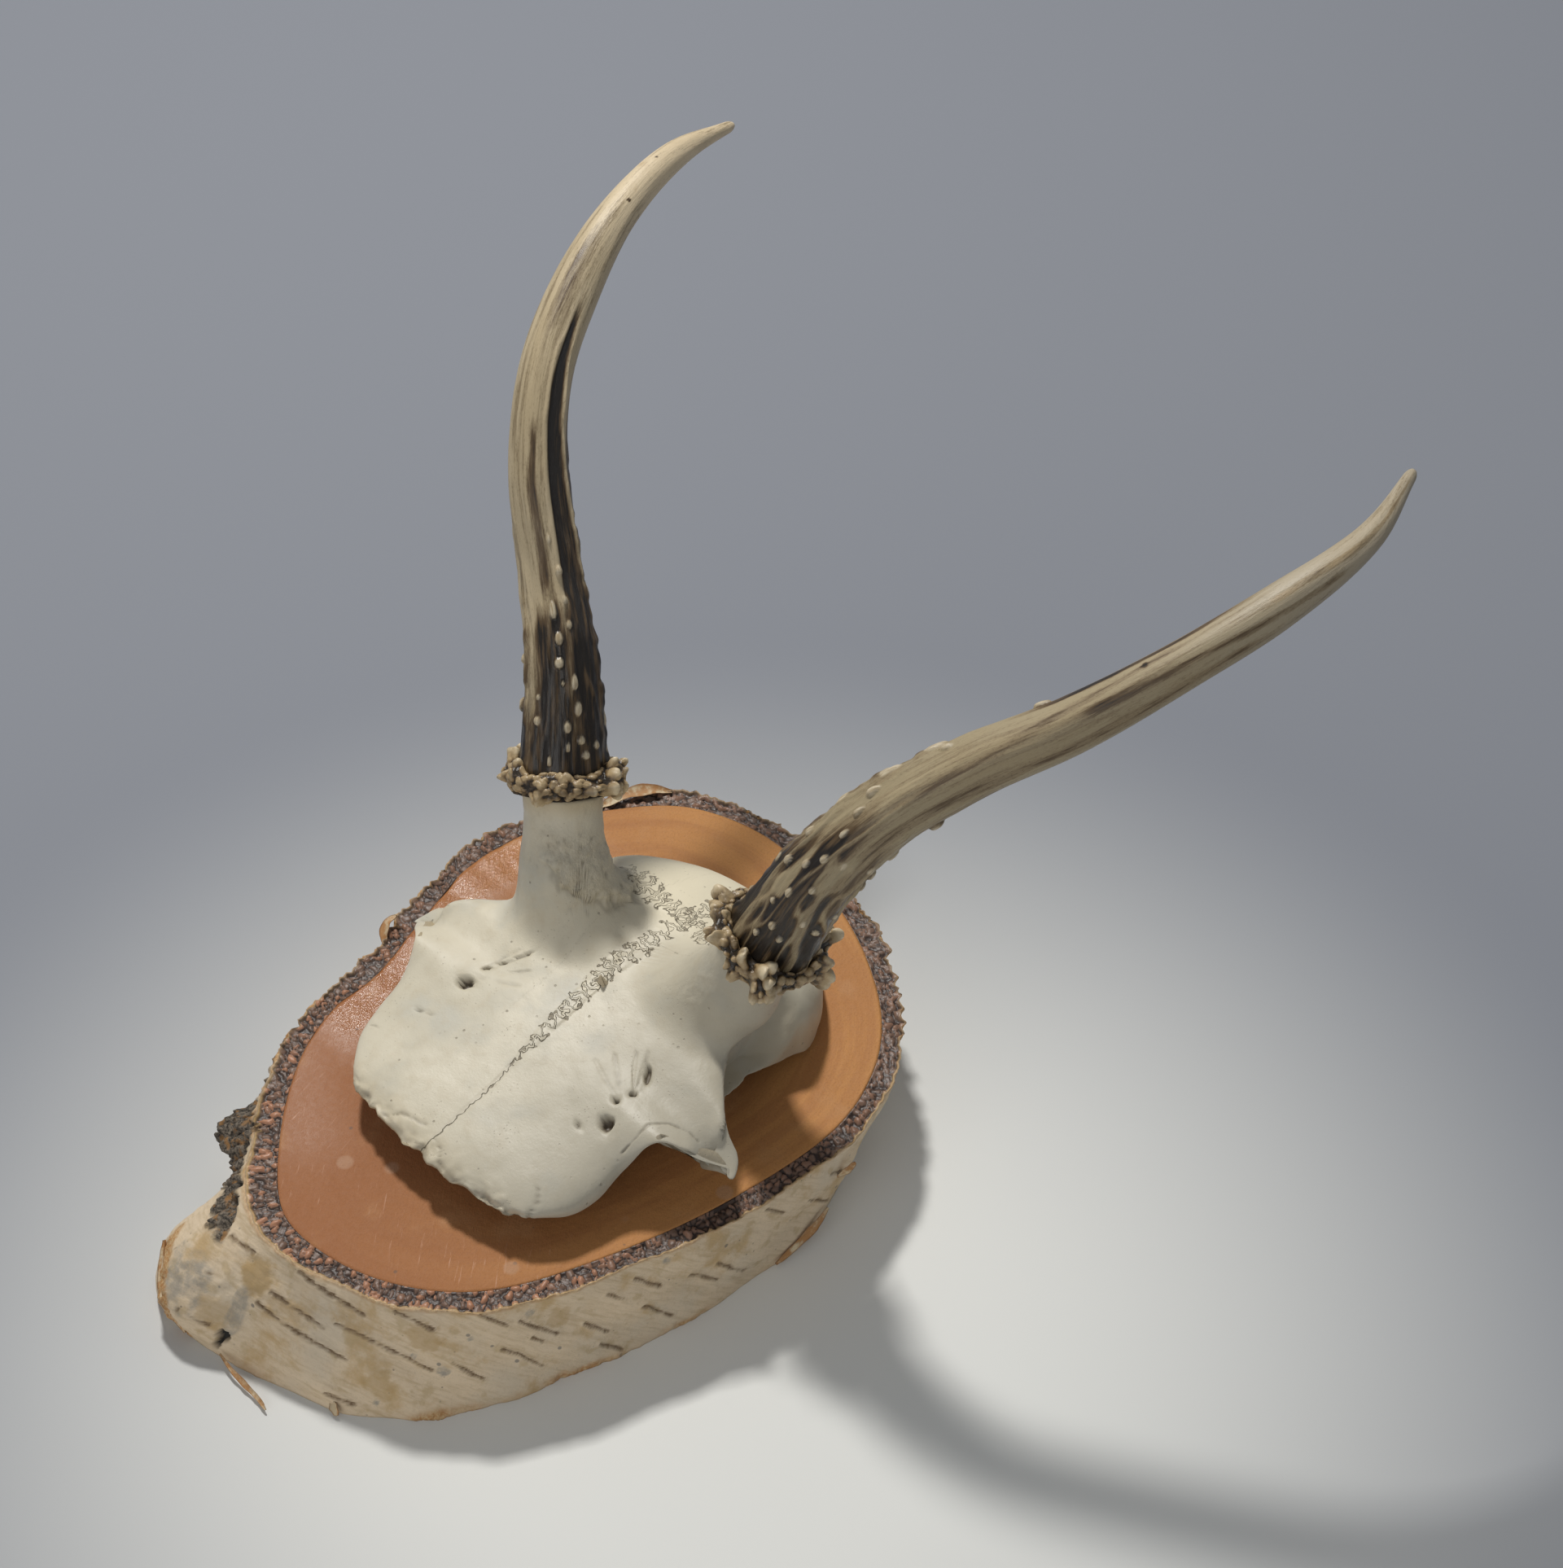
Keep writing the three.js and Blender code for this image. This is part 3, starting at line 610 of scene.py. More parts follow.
def add_pedicle(P, U, V, line, side):
    """Draws the cap's sheet up into a pedicle round the antler's axis.

    In the sheet's own plane, a place at distance rho from the foot has w = rho / reach. Up to CAP of w lies
    the flat top, up to NECK the neck (a circle carried down the axis), and from there a cubic loft runs out
    into the sheet, leaving the neck along the axis and meeting the sheet in its own direction.
    Returns the new places and how far up the pedicle each one is.
    """
    top_share, neck_share, neck_depth = 0.24, 0.60, 12.5
    scale_u, scale_v = 42.0, 48.0
    origin = np.array(line[0], float)
    axis = unit(along(line, np.array([0.0]))[0])
    uu, vv = np.meshgrid(np.linspace(0.1, 0.7, 401) * side, np.linspace(-0.1, 0.6, 401))
    sheet = cap_point(uu, vv)
    off = sheet - origin
    off = off - (off @ axis)[..., None] * axis
    best = np.argmin((off**2).sum(-1))
    u0, v0 = uu.flat[best], vv.flat[best]
    du, dv = (U - u0) * scale_u, (V - v0) * scale_v
    rho, psi = np.hypot(du, dv), np.arctan2(dv, du)
    outward = np.cos(psi) * side
    reach = 15.0 - 3.2 * outward + 1.2 * np.sin(psi)
    w = rho / reach
    inside = w < 1
    ub = np.clip(u0 + reach * np.cos(psi) / scale_u, -1, 1)
    vb = np.clip(v0 + reach * np.sin(psi) / scale_v, -1, 1)
    B = cap_point(ub, vb)
    back = 0.02
    B_slope = unit(B - cap_point(u0 + (ub - u0) * (1 - back), v0 + (vb - v0) * (1 - back)))
    foot = cap_point(np.array(u0), np.array(v0))
    across = cap_point(np.array(u0 + 0.01), np.array(v0)) - foot
    e1 = unit(across - (across @ axis) * axis)
    e2 = np.cross(axis, e1)
    lengthwise = cap_point(np.array(u0), np.array(v0 + 0.01)) - foot
    if lengthwise @ e2 < 0:
        e2 = -e2
    radial = np.cos(psi)[..., None] * e1 + np.sin(psi)[..., None] * e2
    lobes = 1 + 0.035 * np.cos(2 * psi + 0.6) + 0.02 * np.cos(3 * psi + side)

    def ring(depth):
        radius = np.interp(depth, PEDICLE_DEPTHS, PEDICLE_RADII) * lobes
        return origin - depth[..., None] * axis + radius[..., None] * radial

    depth = 0.3 + (neck_depth - 0.3) * np.clip((w - top_share) / (neck_share - top_share), 0, 1)
    neck = ring(depth)
    top = origin - 0.3 * axis
    lid = top + (neck - top) * np.clip(w / top_share, 0, 1)[..., None]
    K = ring(np.full_like(w, neck_depth))
    K_slope = unit(radial * 0.16 - axis)
    length = np.linalg.norm(B - K, axis=-1)[..., None]
    h = np.clip((w - neck_share) / (1 - neck_share), 0, 1)[..., None]
    loft = (
        (2 * h**3 - 3 * h**2 + 1) * K + (h**3 - 2 * h**2 + h) * length * 1.25 * K_slope
        + (3 * h**2 - 2 * h**3) * B + (h**3 - h**2) * length * 1.15 * B_slope
    )
    new = np.where((w < top_share)[..., None], lid, np.where((w < neck_share)[..., None], neck, loft))
    raised = np.where(inside, 1 - smooth(neck_share * 0.8, 1, w), 0)
    return np.where(inside[..., None], new, P), raised, w, psi


SEAM_LINE = [
    (-26, 0.1), (-22, 0.7), (-10, 1.0), (-1, 0), (3, -0.2), (9, -0.7), (15, -1.1), (21, -1.4), (26, -0.7),
    (32, -0.4), (38, 0.2), (50, 0.2),
]
SEAM_WIDTH = [
    (-26, 0.12), (-6, 0.25), (-1, 0.55), (3, 0.95), (8, 1.15), (14, 1.35), (24, 1.6), (36, 1.7), (41, 1.4),
]
CROSS_LINE = [(-18, 39.5), (-12, 38.2), (-7, 37.8), (-2, 38.5), (3, 38.0), (7, 36.5), (14, 37.5)]
CROSS_WIDTH = [(-18, 1.2), (-12, 2.6), (-8, 2.0), (-3, 1.4), (3, 1.5), (7, 1.5), (14, 1.0)]


def seam_marks(x, y, valid):
    """Offset from each seam's middle line and half width of its band, in millimetres."""
    far = 99.0
    middle = np.interp(y, *zip(*SEAM_LINE))
    seam = np.where(valid & (np.abs(x) < 9), x - middle, far)
    middle = np.interp(x, *zip(*CROSS_LINE))
    cross = np.where(valid & (np.abs(x + 2) < 16) & (np.abs(y - 38) < 8), y - middle, far)
    return seam, np.interp(y, *zip(*SEAM_WIDTH)), cross, np.interp(x, *zip(*CROSS_WIDTH))


# Pits of the forehead: place (x, y), half width, half length, turn in degrees, depth.
PITS = [
    (-19.1, 2.3, 1.35, 1.65, 30, 1.75), (21.6, -0.9, 1.3, 1.5, -20, 1.75),
    (-18.6, 6.9, 0.35, 0.9, 30, 0.8), (-15.4, 13.0, 0.25, 1.9, 28, 0.6), (-17.4, 9.4, 0.3, 0.9, 40, 0.6),
    (-19.0, -6.1, 0.35, 0.7, 30, 0.5), (-21.6, -6.6, 0.3, 0.5, 20, 0.4),
    (18.2, -4.3, 0.4, 0.8, -46, 0.8), (19.8, 3.0, 0.6, 0.7, 0, 1.1), (20.8, 6.0, 0.55, 0.75, 40, 1.1),
    (19.7, 10.4, 0.65, 2.0, -38, 1.3),
]
# Fine grooves that run back from the pits.
GROOVES = [
    [(-18.2, 5.6), (-17.2, 9.4), (-14.6, 13.6)], [(-18.0, 4.6), (-15.0, 8.5), (-12.2, 11.2)],
    [(-18.4, 4.2), (-14.0, 6.4), (-11.2, 7.9)], [(-18.9, 6.2), (-18.2, 10.2), (-16.8, 13.2)],
    [(19.6, 3.4), (15.5, 4.6), (10.9, 6.2)], [(19.8, 3.8), (16.4, 6.6), (12.5, 9.3)],
    [(20.6, 6.4), (17.6, 9.0), (15.1, 12.1)], [(20.4, 7.0), (18.9, 9.8), (16.6, 13.4)],
]
CRACKS = [
    [(27.0, -2.2), (27.5, 0.6), (27.4, 3.6), (29.4, 6.4), (32.6, 8.1), (34.6, 8.4)],
    [(21.6, -16.6), (23.0, -18.2), (23.2, -21.0)], [(-25.5, -13.2), (-27.2, -13.4)],
    [(0.4, -22.0), (3.2, -22.8), (4.6, -24.6), (6.4, -25.8)],
    [(-9.8, -24.6), (-7.6, -22.4), (-4.8, -21.8), (-2.4, -21.4)],
]
# Upper border of the hollow behind each process, from the process to the pedicle (left side), and its depth.
TEMPLE_CREST = [
    (36.5, 11.5, 35.6), (32.4, 17.5, 36.6), (30.2, 22.5, 38.2), (29.4, 27.5, 40.5), (30.0, 31.0, 43.5),
]
TEMPLE_DEPTH = 4.2
# Edge of the spongy shelf round the right pedicle: turn in degrees from its inner side, and share of
# the foot's reach.
SHELF_EDGE = [(-180, 0.5), (-75, 0.55), (-56, 0.62), (19, 0.76), (52, 0.82), (80, 0.86), (180, 0.86)]


def cap_domain(sides, rings):
    """The cap's square (u, v) domain as rings from its middle to the rim, with even steps along the rim."""
    v_edge = np.linspace(-1, 1, 4001)[:-1]
    ones = np.ones(len(v_edge))
    eu = np.concatenate([v_edge, ones, -v_edge, -ones])
    ev = np.concatenate([-ones, v_edge, ones, -v_edge])
    edge = cap_point(eu, ev)
    run = np.concatenate([[0], np.cumsum(np.linalg.norm(np.roll(edge, -1, 0) - edge, axis=1))])
    pick = np.interp(np.arange(sides) / sides * run[-1], run, np.arange(len(run)))
    low = np.floor(pick).astype(int) % len(eu)
    share = pick - np.floor(pick)
    eu = eu[low] * (1 - share) + eu[(low + 1) % len(eu)] * share
    ev = ev[low] * (1 - share) + ev[(low + 1) % len(ev)] * share
    rho = np.linspace(0, 1, rings) ** 1.12
    rho[0] = 0.004
    return rho, rho[:, None] * eu, rho[:, None] * ev


def cap_normals(P):
    """Unit normals of a sheet of the cap, pointing up at its middle."""
    normals = grid_normals(P, False, True)
    return -normals if normals[10, 0, 2] < 0 else normals


def temple(places, rim):
    """Depth of the hollow behind each process, and the crest along its upper border."""
    depth, ridge = np.zeros(places.shape[:2]), np.zeros(places.shape[:2])
    for side in (1, -1):
        crest = spline(np.array(TEMPLE_CREST, float) * (side, 1, 1), np.linspace(0, 1, 50))
        mine = (places[..., 0] * side > 16) & (places[..., 1] > 4) & (places[..., 1] < 56)
        gaps = np.linalg.norm(places[mine][:, None] - crest[None], axis=-1)
        gap, closest = gaps.min(1), gaps.argmin(1)
        below = crest[closest][:, 2] - places[mine][:, 2]
        hollow = smooth(0.0, 3.5, below) * smooth(15, 9, gap) * smooth(52, 40, places[mine][:, 1])
        depth[mine] = TEMPLE_DEPTH * hollow
        ridge[mine] = np.exp(-((gap / 1.2) ** 2)) * smooth(34, 28, places[mine][:, 1])
    return depth * smooth(1.0, 0.90, rim), ridge


def forehead_marks(x, y, z, flat):
    """Relief and darkening of the pits (painted shade, so they look deep), of the fine grooves that run from
    them, and of the hairline cracks.
    """
    relief, stain = np.zeros(x.shape), np.zeros(x.shape)
    for px, py, width, length, turn, depth in PITS:
        c, s = math.cos(math.radians(turn)), math.sin(math.radians(turn))
        dx, dy = x - px, y - py
        d = np.hypot((dx * c - dy * s) / width, (dx * s + dy * c) / length) + 0.12 * cloud(flat, 1.4, 7, 2)
        relief -= depth * (smooth(1.15, 0.55, d) * (z > 30) + 0.10 * smooth(2.4, 1, d))
        # Painted shade: each pit is darkened, the more the deeper it is, so it looks deep.
        stain = np.maximum(stain, smooth(1.0, 0.6, d) * min(1, 0.45 + depth * 0.3))
    for groove in GROOVES:
        d = path_distance(flat[..., :2], groove) + 0.12 * cloud(flat, 1.2, 6, 2)
        mark = np.exp(-((d / 0.26) ** 2))
        relief -= 0.16 * mark
        stain = np.maximum(stain, 0.34 * mark * smooth(-0.3, 0.5, cloud(flat, 2, 8)))
    for crack in CRACKS:
        d = path_distance(flat[..., :2], crack) + 0.25 * cloud(flat, 1.1, 9, 2)
        mark = np.exp(-((d / 0.17) ** 2)) * (z > 26)
        relief -= 0.22 * mark
        stain = np.maximum(stain, 0.42 * mark)
    return relief, stain


def pedicle_bone(P, feet):
    """Relief, stain, sponginess and painted shade round each pedicle: rough bone up the neck, a darker collar of
    painted shade under the burr and, on the animal's right one, a torn spongy shelf on the inner side with a
    painted shadow under its edge."""
    relief, stain, porous, warm_stain_and_shade = (np.zeros(P.shape[:2]) for _ in range(4))
    for side, w, psi in feet:
        torn = side < 0
        inner = np.degrees(np.arctan2(np.sin(psi), -np.cos(psi) * side))
        neck = smooth(0.9, 0.6, w + 0.12 * cloud(P, 5, 14, 2))
        neck = neck * smooth(-150, -90, inner) * smooth(150, 110, inner)
        speckled = neck * 0.32 * smooth(-0.35, 0.5, cloud(P, 5, 17, 3)) * (1.0 if torn else 0.35)
        porous = np.maximum(porous, speckled)
        relief += neck * 0.10 * cloud(P, 1.1, 15, 3)
        # Painted shade: a darker collar at the top of each pedicle, just under the burr.
        warm_stain_and_shade = np.maximum(warm_stain_and_shade, 0.6 * smooth(0.36, 0.26, w))
        if torn:
            past = np.interp(inner, *zip(*SHELF_EDGE)) + 0.06 * cloud(P, 2.2, 12, 3) - w
            shelf = smooth(-0.008, 0.02, past) * smooth(0.34, 0.5, w)
            shelf = shelf * smooth(-80, -56, inner) * smooth(95, 62, inner)
            relief += shelf * (1.15 + 0.6 * cloud(P, 1.5, 13, 3)) * smooth(0.32, 0.02, past)
            relief += shelf * 0.25 * cloud(P, 1.5, 24, 3)
            porous = np.maximum(porous, shelf * 0.6)
            # Painted shadow: a thin dark line just past the shelf's torn edge, where the raised shelf casts its
            # shadow.
            under = smooth(0.03, 0.0, np.abs(past + 0.012)) * smooth(-80, -50, inner) * smooth(88, 60, inner)
            stain = np.maximum(stain, 0.35 * under)
    pit, _, own = grains(P, 1.25, 16)
    relief -= 0.4 * porous * (own > 0.7) * smooth(0.45, 0.2, pit)
    stain = np.maximum(stain, 0.6 * porous * (own > 0.78) * smooth(0.4, 0.2, pit))
    return relief, stain, porous, warm_stain_and_shade


def close_cap(outer, sheet, sheet_normals, rho, rim):
    """The closed cap: its rim is pushed out in a ragged line that shapes the two processes, rounded over, and
    met by a thin inner sheet."""
    edge = sheet[-1]
    outward = unit(edge - sheet[-4])
    ragged = 0.6 * (cloud(edge, 2.2, 21, 3) + cloud(edge, 7, 22, 2))
    ragged *= 0.3 + 0.7 * smooth(12, 20, edge[:, 1]) + 1.1 * smooth(-14, -20, edge[:, 1])

    def swell(middle, width):
        """A bell of the given width, at a place along the rim measured from the tip of the process."""
        return np.exp(-(((edge[:, 1] - PROCESS_TIP_Y - middle) / width) ** 2))

    left_edge = 0.3 * swell(0, 1.2) - 2.4 * swell(-2.3, 1.4) + 1.5 * swell(-7, 2.5) + 1.9 * swell(2.9, 1.7)
    right_edge = 0.1 * swell(0, 1.2) - 1.0 * swell(-2.6, 1.4) + 2.5 * swell(3.4, 1.8)
    push = outward * (ragged - 0.2 + np.where(edge[:, 0] > 0, left_edge, right_edge))[:, None]
    outer = outer + push * smooth(0.9, 1, rim)[..., None]
    under_rows = np.array([145, 144, 140, 134, 126, 116, 104, 90, 74, 58, 44, 30, 16, 6, 0])
    depth = rho[under_rows][:, None]
    thickness = RIM_THICKNESS + (CAP_THICKNESS - RIM_THICKNESS) * smooth(1, 0.9, depth)
    thickness = thickness * (1 - 0.55 * swell(0, 4)) + 0.9 * swell(0, 4) * smooth(1, 0.96, depth)
    under = sheet[under_rows] - sheet_normals[under_rows] * thickness[..., None]
    under[:3] += push
    outer[..., 2] = np.maximum(outer[..., 2], CAP_SEAT)
    under[..., 2] = np.maximum(under[..., 2], CAP_SEAT)
    share = np.linspace(0, 1, 5)[1:-1][:, None, None]
    turn = outer[-1] + (under[0] - outer[-1]) * share + outward * np.sin(math.pi * share) * 0.35
    turn[..., 2] = np.maximum(turn[..., 2], CAP_SEAT)
    return np.concatenate([outer, turn, under])


def build_skull(material):
    """The skull cap: rings of the cap's (u, v) domain from its middle to the rim, round the rim and back under
    it, with both pedicles drawn up and all fine relief pushed along the normals."""
    sides = 580
    rho, U, V = cap_domain(sides, 146)
    rim = rho[:, None] * np.ones(sides)
    sheet = cap_point(U, V)
    sheet_normals = cap_normals(sheet)
    P = sheet.copy()
    raised = np.zeros(U.shape)
    feet = []
    for line, side in ((LEFT_LINE, 1), (RIGHT_LINE, -1)):
        P, up, w, psi = add_pedicle(P, U, V, line, side)
        raised = np.maximum(raised, up)
        feet.append((side, w, psi))
    open_sheet = 1 - raised
    hollow, ridge = temple(P, rim)
    P = P - cap_normals(P) * hollow[..., None]
    sheet = sheet - sheet_normals * temple(sheet, rim)[0][..., None]
    N = cap_normals(P)
    x, y, z = P[..., 0], P[..., 1], P[..., 2]
    flat = np.stack([x, y, np.zeros_like(x)], -1)
    rise = 0.22 * cloud(P, 9, 3, 2) + 0.05 * cloud(P, 2.2, 4, 3) + 0.5 * ridge * open_sheet

    seam, seam_half, cross, cross_half = seam_marks(x, y, (z > 26) & (raised < 0.55))
    band = smooth(1.3, 0.9, np.abs(seam) / seam_half) * smooth(-3, 4, y)
    band = np.maximum(band, smooth(1.3, 0.9, np.abs(cross) / cross_half) * (np.abs(x + 2) < 13))
    rise += band * (0.14 + 0.16 * cloud(flat, 0.9, 42, 1))
    rise -= 0.22 * np.exp(-((seam / 0.25) ** 2)) * smooth(1, -3, y)

    marks_relief, stain = forehead_marks(x, y, z, flat)
    neck_relief, neck_stain, porous, collar_shade = pedicle_bone(P, feet)
    rise += marks_relief + neck_relief
    stain = np.maximum(stain, neck_stain)

    nose = smooth(-17, -22, y) * smooth(28, 20, np.abs(x))
    chip = smooth(0.93, 1.0, rim) * nose
    rise -= chip * (0.35 + 1.1 * smooth(-0.1, 0.4, cloud(P, 3.0, 17, 3)))
    rise += 0.45 * nose * cloud(P, 1.6, 18, 3) * smooth(0.86, 0.97, rim)
    broken = nose * smooth(0.955, 0.985, rim) * smooth(-0.15, 0.3, cloud(P, 1.8, 25, 3))
    stain = np.maximum(stain, 0.5 * broken)
    temporal = smooth(18, 24, np.abs(x)) * smooth(14, 22, y) * smooth(38, 30, z)
    rise += 0.35 * temporal * cloud(flat + [0, 0, 0.3], 3.0, 19, 2) * open_sheet
    # Warm brown: stain along the rear rim and at the broken nose, a warmer tone in the temple hollows, and
    # painted shade in the collar under each burr.
    warm_stain_and_shade = np.maximum(temporal * 0.75, smooth(0.94, 1, rim) * smooth(13, 20, y) * 0.6)
    warm_stain_and_shade = warm_stain_and_shade * smooth(-0.8, 0.4, cloud(P, 5, 20, 3))
    warm_stain_and_shade = np.max([warm_stain_and_shade, 0.3 * smooth(0.85, 0.98, rim) * nose, collar_shade], axis=0)
    rear = smooth(27, 38, y + 3 * cloud(P, 8, 23, 2) - 0.25 * np.abs(x)) * open_sheet

    grid = close_cap(P + N * rise[..., None], sheet, sheet_normals, rho, rim)

    def extended(values, fill=None):
        tail = np.broadcast_to(values[-1] if fill is None else fill, (len(grid) - len(P), sides))
        return np.concatenate([values, tail])

    marks = {
        "seam_offset": extended(seam), "seam_half": extended(seam_half), "cross_offset": extended(cross),
        "cross_half": extended(cross_half), "stain": extended(stain, 0.3), "porous": extended(porous, 0.3),
        "warm_stain_and_shade": extended(warm_stain_and_shade, 0.8), "rear": extended(rear),
    }
    surface("skull_cap_bone", grid, material, "skull_cap", poles=(0, -1), marks=marks)


# Antlers.

def antler_axes(line, t):
    """Directions along the antler, to its front (theta 0, towards FACING) and to its side (theta 90)."""
    tangent = along(line, t)
    front = unit(FACING - (tangent @ FACING)[..., None] * tangent)
    return tangent, front, np.cross(tangent, front)


# Pearls: place along the antler from 0 to 1, turn in degrees, radius, stretch along the antler.
LEFT_PEARLS = [
    (0.08, -10, 0.8, 1.2), (0.1, 26, 0.7, 1.3), (0.125, -18, 0.8, 1.4), (0.1, -32, 0.7, 1),
    (0.15, 6, 0.7, 1.3), (0.165, -30, 0.8, 1.3), (0.19, -12, 0.8, 1.3), (0.2, 18, 0.6, 1.6),
    (0.07, 8, 0.7, 1), (0.055, -24, 0.8, 1), (0.225, -22, 0.6, 1.8), (0.25, -40, 0.7, 1.5),
    (0.23, -88, 1.2, 1.4), (0.29, -85, 1.3, 1.8), (0.345, -88, 1.3, 1.7), (0.36, -70, 0.8, 1.5),
    (0.47, -90, 0.9, 2), (0.165, 90, 0.9, 1.4), (0.19, 88, 0.9, 1.5), (0.235, 88, 0.9, 2),
    (0.305, 88, 1.1, 1.5), (0.14, -60, 0.8, 1.4), (0.18, -75, 0.9, 1.3), (0.12, -84, 0.9, 1.2),
    (0.27, -60, 0.8, 1.8), (0.09, 50, 0.7, 1.2), (0.12, 66, 0.7, 1.4), (0.21, 60, 0.6, 1.8),
]
RIGHT_PEARLS = [
    (0.25, 20, 0.8, 1.2), (0.21, 25, 0.7, 1.2), (0.195, 0, 0.75, 2.6), (0.165, 4, 0.85, 1.5),
    (0.14, 1, 0.95, 1), (0.18, 25, 0.65, 1.3), (0.118, 24, 0.85, 1.5), (0.092, 29, 0.85, 1.6),
    (0.062, 33, 0.85, 1), (0.046, 40, 0.8, 1), (0.076, 11, 0.8, 1.3), (0.08, -38, 0.85, 1.1),
    (0.105, -38, 0.55, 1), (0.055, 58, 0.7, 1.2), (0.12, 5, 0.35, 1), (0.275, 88, 0.9, 1.4),
    (0.225, 90, 1.0, 1.6), (0.1, 90, 0.9, 2.5), (0.075, 88, 1.1, 1.6), (0.045, 90, 1.0, 1.4),
    (0.145, -88, 0.9, 1.2), (0.09, -88, 1.3, 1), (0.055, 12, 0.5, 2.2), (0.29, 10, 0.35, 3),
    (0.04, -14, 0.5, 2.5),
]


class AntlerSkin:
    """The surface of an antler as a grid: T from 0 at the burr to 1 at the tip, S millimetres along it, turn Q
    round it, and its radius with five shallow flutes. straight holds each place as if the antler ran straight
    up, and the random fields furrow, crest_line and uneven follow it."""

    def __init__(self, line, radii):
        rows, columns = 430, 208
        self.t = np.linspace(0, 1, rows) ** 1.3
        self.T, self.Q = np.meshgrid(self.t, np.arange(columns) / columns * 2 * math.pi, indexing="ij")
        T, Q = self.T, self.Q
        self.middle = spline(line, self.t, "straight")
        _, front, sideways = antler_axes(line, self.t)
        self.spoke = np.cos(Q)[..., None] * front[:, None] + np.sin(Q)[..., None] * sideways[:, None]
        steps = np.linalg.norm(np.diff(self.middle, axis=0), axis=1)
        self.length = np.concatenate([[0], np.cumsum(steps)])
        self.S = np.broadcast_to(self.length[:, None], T.shape)
        radius = spline(radii, T) * (1 + 0.05 * np.cos(5 * Q + 2 * T) * (1 - T))
        self.radius = radius * np.sqrt(np.clip(1 - ((T - 0.985) / 0.0151).clip(0, 1) ** 2, 0, 1))
        self.straight = np.stack([self.radius * np.cos(Q), self.radius * np.sin(Q), self.S], -1)
        self.furrow = self.drawn_out(0.09, 1.7, 51, 3)
        line_gap = np.abs(self.drawn_out(0.16, 2.6, 58))
        self.crest_line = smooth(0.22, 0.0, line_gap) * smooth(0.42, 0.2, T)
        self.uneven = self.drawn_out(0.7, 0.9, 57)

    def drawn_out(self, squeeze, size, seed, octaves=2):
        """A random field whose lumps are 1 / squeeze times longer along the antler than across it."""
        return cloud(self.straight * (1, 1, squeeze), size, seed, octaves)

    def lengthwise(self, size, seed, shift=0):
        """A random field that only changes along the antler."""
        return cloud(np.stack([self.S, 0 * self.S + shift, 0 * self.S], -1), size, seed, 2)

    def bend(self, turn):
        """Angle in degrees from a turn, from -180 to 180."""
        return (np.degrees(self.Q) - turn + 180) % 360 - 180

    def band(self, places, turns, half, fade=0.04):
        """A streak along the antler whose middle passes the given turns at the given places from 0 to 1."""
        T = self.T
        ends = smooth(places[0] - fade, places[0], T) * smooth(places[-1] + fade, places[-1], T)
        gap = np.abs(self.bend(np.interp(T, places, turns)) + 9 * self.furrow)
        return smooth(half + 5, half - 5, gap) * ends

    def spot(self, place, turn, size):
        """A round dot on the antler."""
        ahead = self.S - np.interp(place, self.t, self.length)
        d = np.hypot(ahead, np.radians(self.bend(turn)) * self.radius) + 0.15 * self.uneven
        return smooth(size * 1.1, size * 0.6, d)


def antler_ridges(skin, side):
    """Relief and mark of the beaded ridges, the strongest on the inner side, towards the other antler."""
    inner = side * -90.0
    drift = 9 * skin.lengthwise(22, 53 + side)
    relief, mark = np.zeros(skin.T.shape), np.zeros(skin.T.shape)
    ridges = [
        (inner, 1.5, 0.75, 0.46), (inner - side * 26, 0.9, 0.4, 0.36), (inner + side * 150, 1.0, 0.45, 0.3),
    ]
    for turn, width, height, last in ridges:
        d = np.radians(skin.bend(turn + drift)) * skin.radius / width
        beads = 0.55 + 0.75 * smooth(-0.4, 0.6, skin.lengthwise(2.6, 54, turn))
        ridge = np.exp(-(d**2)) * smooth(last, last - 0.14, skin.T) * smooth(0.005, 0.03, skin.T)
        relief += ridge * height * beads
        mark = np.maximum(mark, ridge * beads)
    return relief, mark


def add_pearls(skin, relief, pearls, seed):
    """Raises a domed pearl at each listed place and at random ones on the hidden side. Gives the new relief and
    the pearls' mark."""
    rng = np.random.default_rng(seed)
    hidden = []
    for _ in range(34):
        turn = rng.uniform(100, 260)
        place, size, long = rng.uniform(0.03, 0.3) ** 1.15, rng.uniform(0.45, 1.0), rng.uniform(1, 1.9)
        hidden.append((place, turn, size, long))
    pearl = np.zeros(skin.T.shape)
    for place, turn, size, long in pearls + hidden:
        size = size * 0.88
        ahead = skin.S - np.interp(place, skin.t, skin.length)
        ahead = ahead / (size * np.where(ahead > 0, 1.1 + 1.5 * (long - 0.9), 0.85 + 0.2 * long))
        aside = np.radians(skin.bend(turn)) * skin.radius / size
        d2 = np.clip(ahead**2 + aside**2 + 0.38 * skin.uneven, 0, None)
        dome = np.sqrt(np.clip(1 - d2, 0, 1))
        relief = np.where(d2 < 1, np.maximum(relief, size * 0.8 * dome + 0.04), relief)
        pearl = np.maximum(pearl, smooth(0.2, 0.8, dome))
    return relief, pearl


